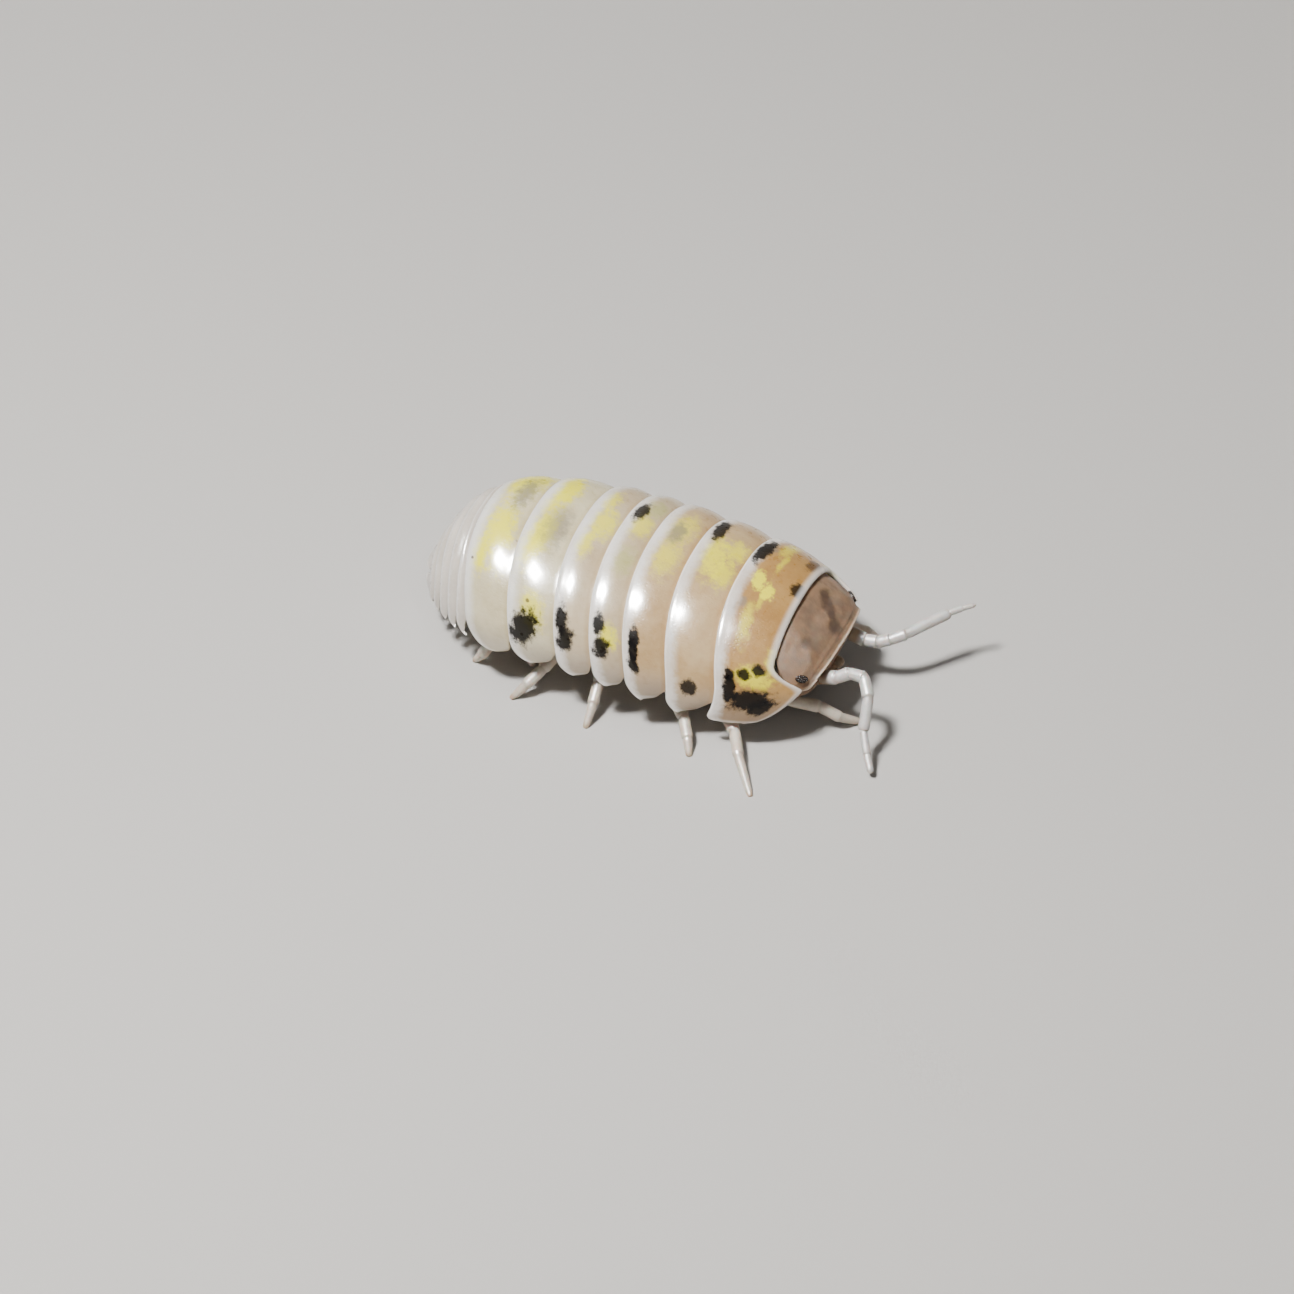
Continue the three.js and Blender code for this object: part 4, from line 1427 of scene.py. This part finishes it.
@dataclass
class Limb:
    """A jointed limb of straight pieces, each widest past its root and pinched where it meets the next.

    Each joint is x, y, z and radius. Each swell is a share of the piece's length, what its radius is
    multiplied by, and how near that ring is to a joint.
    """

    name: str
    node: str
    joints: tuple[Four, ...]
    finish: LimbFinish
    sole: bool = False
    pinch: float = 0.84
    sides: int = 28
    bristles: int = 5
    bristle_length: float = 0.16
    bristle_radius: float = 0.018
    floor: Optional[float] = None
    swells: tuple[Colour, ...] = (
        (0.06, 0.93, 0.5),
        (0.14, 0.98, 0.1),
        (0.35, 1.0, 0.0),
        (0.6, 1.02, 0.0),
        (0.82, 1.07, 0.0),
        (0.92, 1.1, 0.1),
        (0.97, 1.0, 0.5),
    )
    short_piece: float = 0.25

    def rings(self) -> list[Ring]:
        """Returns the rings from the root to the tip."""
        at = [Vector(j[:3]) for j in self.joints]
        along = [(b - a).normalized() for a, b in zip(at, at[1:])]
        made: list[Ring] = []
        for i, start in enumerate(at[:-1]):
            r0, r1 = self.joints[i][3], self.joints[i + 1][3]
            if i:
                made.append(Ring(start, (along[i - 1] + along[i]).normalized(), r0 * self.pinch, 1.0))
            else:
                made.append(Ring(start, DOWN if self.sole else along[0], r0 * 0.9, 0.3))
            is_short = (at[i + 1] - start).length < self.short_piece
            for t, swell, joint in self.swells[1:] if is_short else self.swells:
                made.append(Ring(start.lerp(at[i + 1], t), along[i], (r0 + (r1 - r0) * t) * swell, joint))
        made.append(Ring(at[-1], DOWN if self.sole else along[-1], self.joints[-1][3]))
        return made

    def build(self, effects: Effects) -> None:
        """Builds the limb with its bristles.

        Args:
            effects: the shared effects.
        """
        bm = sweep(self.rings(), self.sides, self.floor)
        length = 0.0
        at = [Vector(j[:3]) for j in self.joints]
        for i, (start, end) in enumerate(zip(at, at[1:])):
            if i and (end - start).length >= 0.3:
                self.add_bristles(bm, i, start, end, length)
            length += (end - start).length
        material = self.finish.make(self.name, effects, length - (0.3 if self.sole else 0.12))
        finish_piece(self.name, bm, material, [self.node], subdivide=1)

    def add_bristles(self, bm: BMesh, i: int, start: Vector, end: Vector, length: float) -> None:
        """Adds the bristles under one straight piece.

        Args:
            bm: the limb's mesh.
            i: the piece's number.
            start: the piece's root.
            end: its end.
            length: the distance from the limb's start.
        """
        way = (end - start).normalized()
        out = (DOWN - way * DOWN.dot(way)).normalized()
        for k in range(self.bristles):
            t = 0.25 + 0.65 * k / (self.bristles - 1)
            radius = self.joints[i][3] + (self.joints[i + 1][3] - self.joints[i][3]) * t
            leave = (out + way.cross(out) * (0.45 if k % 2 else -0.45)).normalized()
            root = start.lerp(end, t) + leave * radius * 0.85
            tip = root + (leave * 0.6 + way * 0.8).normalized() * self.bristle_length
            if tip.z >= 0.03:
                add_bristle(bm, root, tip, self.bristle_radius, Vector((length + 0.3, 0.5, 0.0)))


@dataclass
class Legs:
    """The seven pairs of legs in mid stride, each from its hip to its sole on the floor.

    Each row holds the hip's x, then the knee, the two joints below it and the foot's x and y, with y
    measured outwards.
    """

    hip_out: float = 2.1
    seam: float = 0.02
    radii: tuple[float, ...] = (0.27, 0.26, 0.25, 0.23, 0.2, 0.11)
    right: tuple[tuple, ...] = (
        (5.3, (6.9, 2.15, 1.15), (8.0, 1.85, 0.95), (8.75, 1.65, 0.5), (9.4, 1.05)),
        (3.3, (4.3, 2.9, 1.05), (5.49, 4.1, 0.68), (6.04, 5.12, 0.5), (7.1, 6.55)),
        (1.45, (2.3, 3.0, 1.25), (3.45, 4.1, 0.72), (3.9, 4.85, 0.42), (4.15, 5.3)),
        (-0.1, (-0.1, 3.0, 1.6), (-0.1, 3.85, 1.05), (-0.02, 4.6, 0.65), (-0.04, 5.26)),
        (-1.55, (-1.9, 3.0, 1.6), (-2.35, 3.85, 1.05), (-2.8, 4.45, 0.55), (-3.26, 4.74)),
        (-3.15, (-3.05, 2.8, 1.6), (-3.1, 3.1, 1.1), (-3.2, 2.95, 0.5), (-3.3, 2.65)),
        (-4.95, (-4.8, 2.8, 1.5), (-4.75, 3.3, 1.0), (-5.05, 3.35, 0.5), (-5.4, 3.25)),
    )
    left: tuple[tuple, ...] = (
        (5.3, (6.4, 2.6, 1.05), (7.3, 3.1, 0.75), (7.9, 3.5, 0.4), (8.4, 3.6)),
        (3.3, (3.9, 2.9, 1.1), (4.6, 4.0, 0.7), (5.2, 4.75, 0.42), (5.5, 5.3)),
        (1.45, (2.0, 3.0, 1.3), (2.3, 4.05, 0.75), (2.3, 4.85, 0.42), (2.3, 5.4)),
        (-0.1, (0.4, 3.0, 1.5), (0.7, 4.05, 0.95), (0.6, 4.9, 0.5), (0.5, 5.4)),
        (-1.55, (-1.8, 3.0, 1.6), (-2.1, 3.9, 1.0), (-2.5, 4.6, 0.55), (-2.9, 5.1)),
        (-3.15, (-3.3, 3.0, 1.6), (-3.7, 3.85, 1.0), (-4.1, 4.5, 0.55), (-4.5, 4.9)),
        (-4.95, (-5.0, 2.8, 1.35), (-5.5, 3.6, 0.85), (-6.1, 3.95, 0.45), (-6.6, 4.1)),
    )

    def hip_height(self, x: float) -> float:
        """Returns the height of a hip, sunk a little into the belly."""
        steps = [FORM.belly(x, p / 50) for p in range(51)]
        return min(p.z for p in steps if abs(p.y - self.hip_out) < 0.37) + self.seam

    def build(self, effects: Effects) -> None:
        """Builds all the legs.

        Args:
            effects: the shared effects.
        """
        for (side, sign), rows in zip(SIDES, (self.right, self.left)):
            for number, (hip, knee, under, shin, foot) in enumerate(rows, 1):
                top = self.hip_height(hip)
                thigh = (hip + (knee[0] - hip) * 0.35, self.hip_out + (knee[1] - self.hip_out) * 0.4, top - 0.5)
                points = ((hip, self.hip_out, top), thigh, knee, under, shin, (*foot, 0.0))
                joints = tuple((p[0], sign * p[1], p[2], r) for p, r in zip(points, self.radii))
                names = (f"walking_leg_{number}_{side}", f"leg_{number}_{side}")
                Limb(*names, joints, LimbFinish(), sole=True, floor=0.03, bristles=6).build(effects)


@dataclass
class Feelers:
    """The two antennae, each a stem of five pieces and a whip of two with a fine tip."""

    right_stem: tuple[Four, ...] = (
        (7.9, -1.45, 2.05, 0.29),
        (8.55, -1.55, 2.3, 0.25),
        (9.0, -1.4, 2.55, 0.23),
        (9.6, -1.5, 2.6, 0.23),
        (10.0, -2.05, 2.2, 0.22),
        (10.13, -2.85, 1.25, 0.2),
    )
    left_stem: tuple[Four, ...] = (
        (7.9, 1.5, 1.9, 0.29),
        (8.5, 1.5, 1.75, 0.25),
        (9.0, 1.52, 1.8, 0.23),
        (9.45, 1.65, 1.95, 0.23),
        (9.94, 2.0, 2.1, 0.22),
        (11.1, 3.46, 2.37, 0.21),
    )
    right_whip: tuple[Four, ...] = (
        (10.13, -2.86, 1.24, 0.16),
        (10.5, -3.44, 0.67, 0.15),
        (10.82, -3.88, 0.31, 0.12),
        (10.86, -3.93, 0.27, 0.06),
    )
    left_whip: tuple[Four, ...] = (
        (11.1, 3.46, 2.37, 0.14),
        (11.5, 3.84, 2.44, 0.12),
        (11.84, 4.1, 2.49, 0.09),
        (11.92, 4.16, 2.5, 0.04),
    )
    skin: LimbFinish = LimbFinish(skin=(0.53, 0.50, 0.47), shade=(0.36, 0.31, 0.28), root_to=0.55)

    def build(self, effects: Effects) -> None:
        """Builds both feelers.

        Args:
            effects: the shared effects.
        """
        whip_skin = replace(self.skin, root_to=0.01)
        parts = ((self.right_stem, self.right_whip), (self.left_stem, self.left_whip))
        for (side, _), (stem, whip) in zip(SIDES, parts):
            names = (f"feeler_stem_{side}", f"antenna_{side}_stem")
            Limb(*names, stem, self.skin, bristles=4, bristle_length=0.1).build(effects)
            names = (f"feeler_whip_{side}", f"antenna_{side}_whip")
            Limb(*names, whip, whip_skin, pinch=0.9, bristle_length=0.08).build(effects)


@dataclass(frozen=True)
class Light:
    """One soft square light: the way to it, its distance and side in millimetres, and its power in watts."""

    name: str
    way: Colour
    away: float
    size: float
    power: float
    only_shine: bool = False

    def build(self) -> None:
        """Builds the light, pointed at the body."""
        way = Vector(self.way)
        light = bpy.data.lights.new(self.name, "AREA")
        light.shape, light.size, light.energy = "SQUARE", self.size * MM, self.power
        thing = bpy.data.objects.new(self.name, light)
        thing.visible_diffuse = not self.only_shine
        thing.location = (FORM.origin() + Vector((0, 0, 3)) + way.normalized() * self.away) * MM
        thing.rotation_euler = way.to_track_quat("Z", "Y").to_euler()
        bpy.context.scene.collection.objects.link(thing)


@dataclass
class Studio:
    """A pale floor, soft lights and a camera at the angle of the picture."""

    azimuth: float = 22.3
    elevation: float = 40.0
    distance: float = 300.0
    sensor: float = 36.0
    picture_side: float = 1294.0
    pixels_per_mm: float = 26.6
    aim_right: float = 0.263
    aim_up: float = -2.023
    aim_height: float = 2.5
    floor_size: float = 2.0
    floor_colour: Four = (0.47, 0.45, 0.425, 1.0)
    sky_colour: Four = (1.0, 0.99, 0.97, 1.0)
    sky_strength: float = 0.12
    lights: tuple[Light, ...] = (
        Light("Key", (-0.20, -0.32, 0.92), 150.0, 24.0, 0.50),
        Light("Glint", (-0.20, -0.32, 0.92), 150.0, 42.0, 3.4, only_shine=True),
        Light("Fill", (0.9, -0.9, 0.75), 220.0, 190.0, 0.05),
        Light("Rim", (-0.8, 0.9, 0.8), 220.0, 160.0, 0.04),
    )

    def build(self) -> None:
        """Builds the floor, the camera, the lights and the room's dim light."""
        self.build_floor()
        self.build_camera()
        for light in self.lights:
            light.build()
        world = bpy.data.worlds.new("Room")
        world.use_nodes = True
        sky = world.node_tree.nodes["Background"]
        sky.inputs["Color"].default_value = self.sky_colour
        sky.inputs["Strength"].default_value = self.sky_strength
        bpy.context.scene.world = world

    def build_floor(self) -> None:
        """Builds the pale floor, level with the soles."""
        bm = bmesh.new()
        bmesh.ops.create_grid(bm, x_segments=1, y_segments=1, size=self.floor_size)
        mesh = bpy.data.meshes.new("floor")
        bm.to_mesh(mesh)
        bm.free()
        material, _, shader = new_material("Floor paint")
        set_constants(shader, {"Base Color": self.floor_colour, "Roughness": 0.9, "Specular IOR Level": 0.05})
        mesh.materials.append(material)
        floor = bpy.data.objects.new("floor", mesh)
        bpy.context.scene.collection.objects.link(floor)

    def build_camera(self) -> None:
        """Builds the camera."""
        a, e = math.radians(self.azimuth), math.radians(self.elevation)
        back = Vector((math.sin(a) * math.cos(e), -math.cos(a) * math.cos(e), math.sin(e)))
        right = Vector((math.cos(a), math.sin(a), 0.0))
        up = back.cross(right)
        aim = FORM.origin() + Vector((0, 0, self.aim_height)) + right * self.aim_right + up * self.aim_up
        camera = bpy.data.cameras.new("Camera")
        camera.sensor_width = self.sensor
        camera.lens = self.sensor * self.distance / (self.picture_side / self.pixels_per_mm)
        camera.clip_start, camera.clip_end = 0.01, 10.0
        thing = bpy.data.objects.new("Camera", camera)
        thing.location = (aim + back * self.distance) * MM
        thing.rotation_euler = back.to_track_quat("Z", "Y").to_euler()
        bpy.context.scene.collection.objects.link(thing)
        bpy.context.scene.camera = thing


def main() -> None:
    """Builds every part of the model and the studio round it."""
    logging.basicConfig(level=logging.INFO, format="%(message)s")
    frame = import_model()
    LOG.info("frame of %d nodes", len(frame["nodes"]))
    effects = Effects()
    Studio().build()
    last = Back().build(effects)
    TailEnd(last).build(effects)
    Underside().build(effects)
    Head().build(effects)
    Feelers().build(effects)
    Legs().build(effects)


if __name__ == "__main__":
    main()
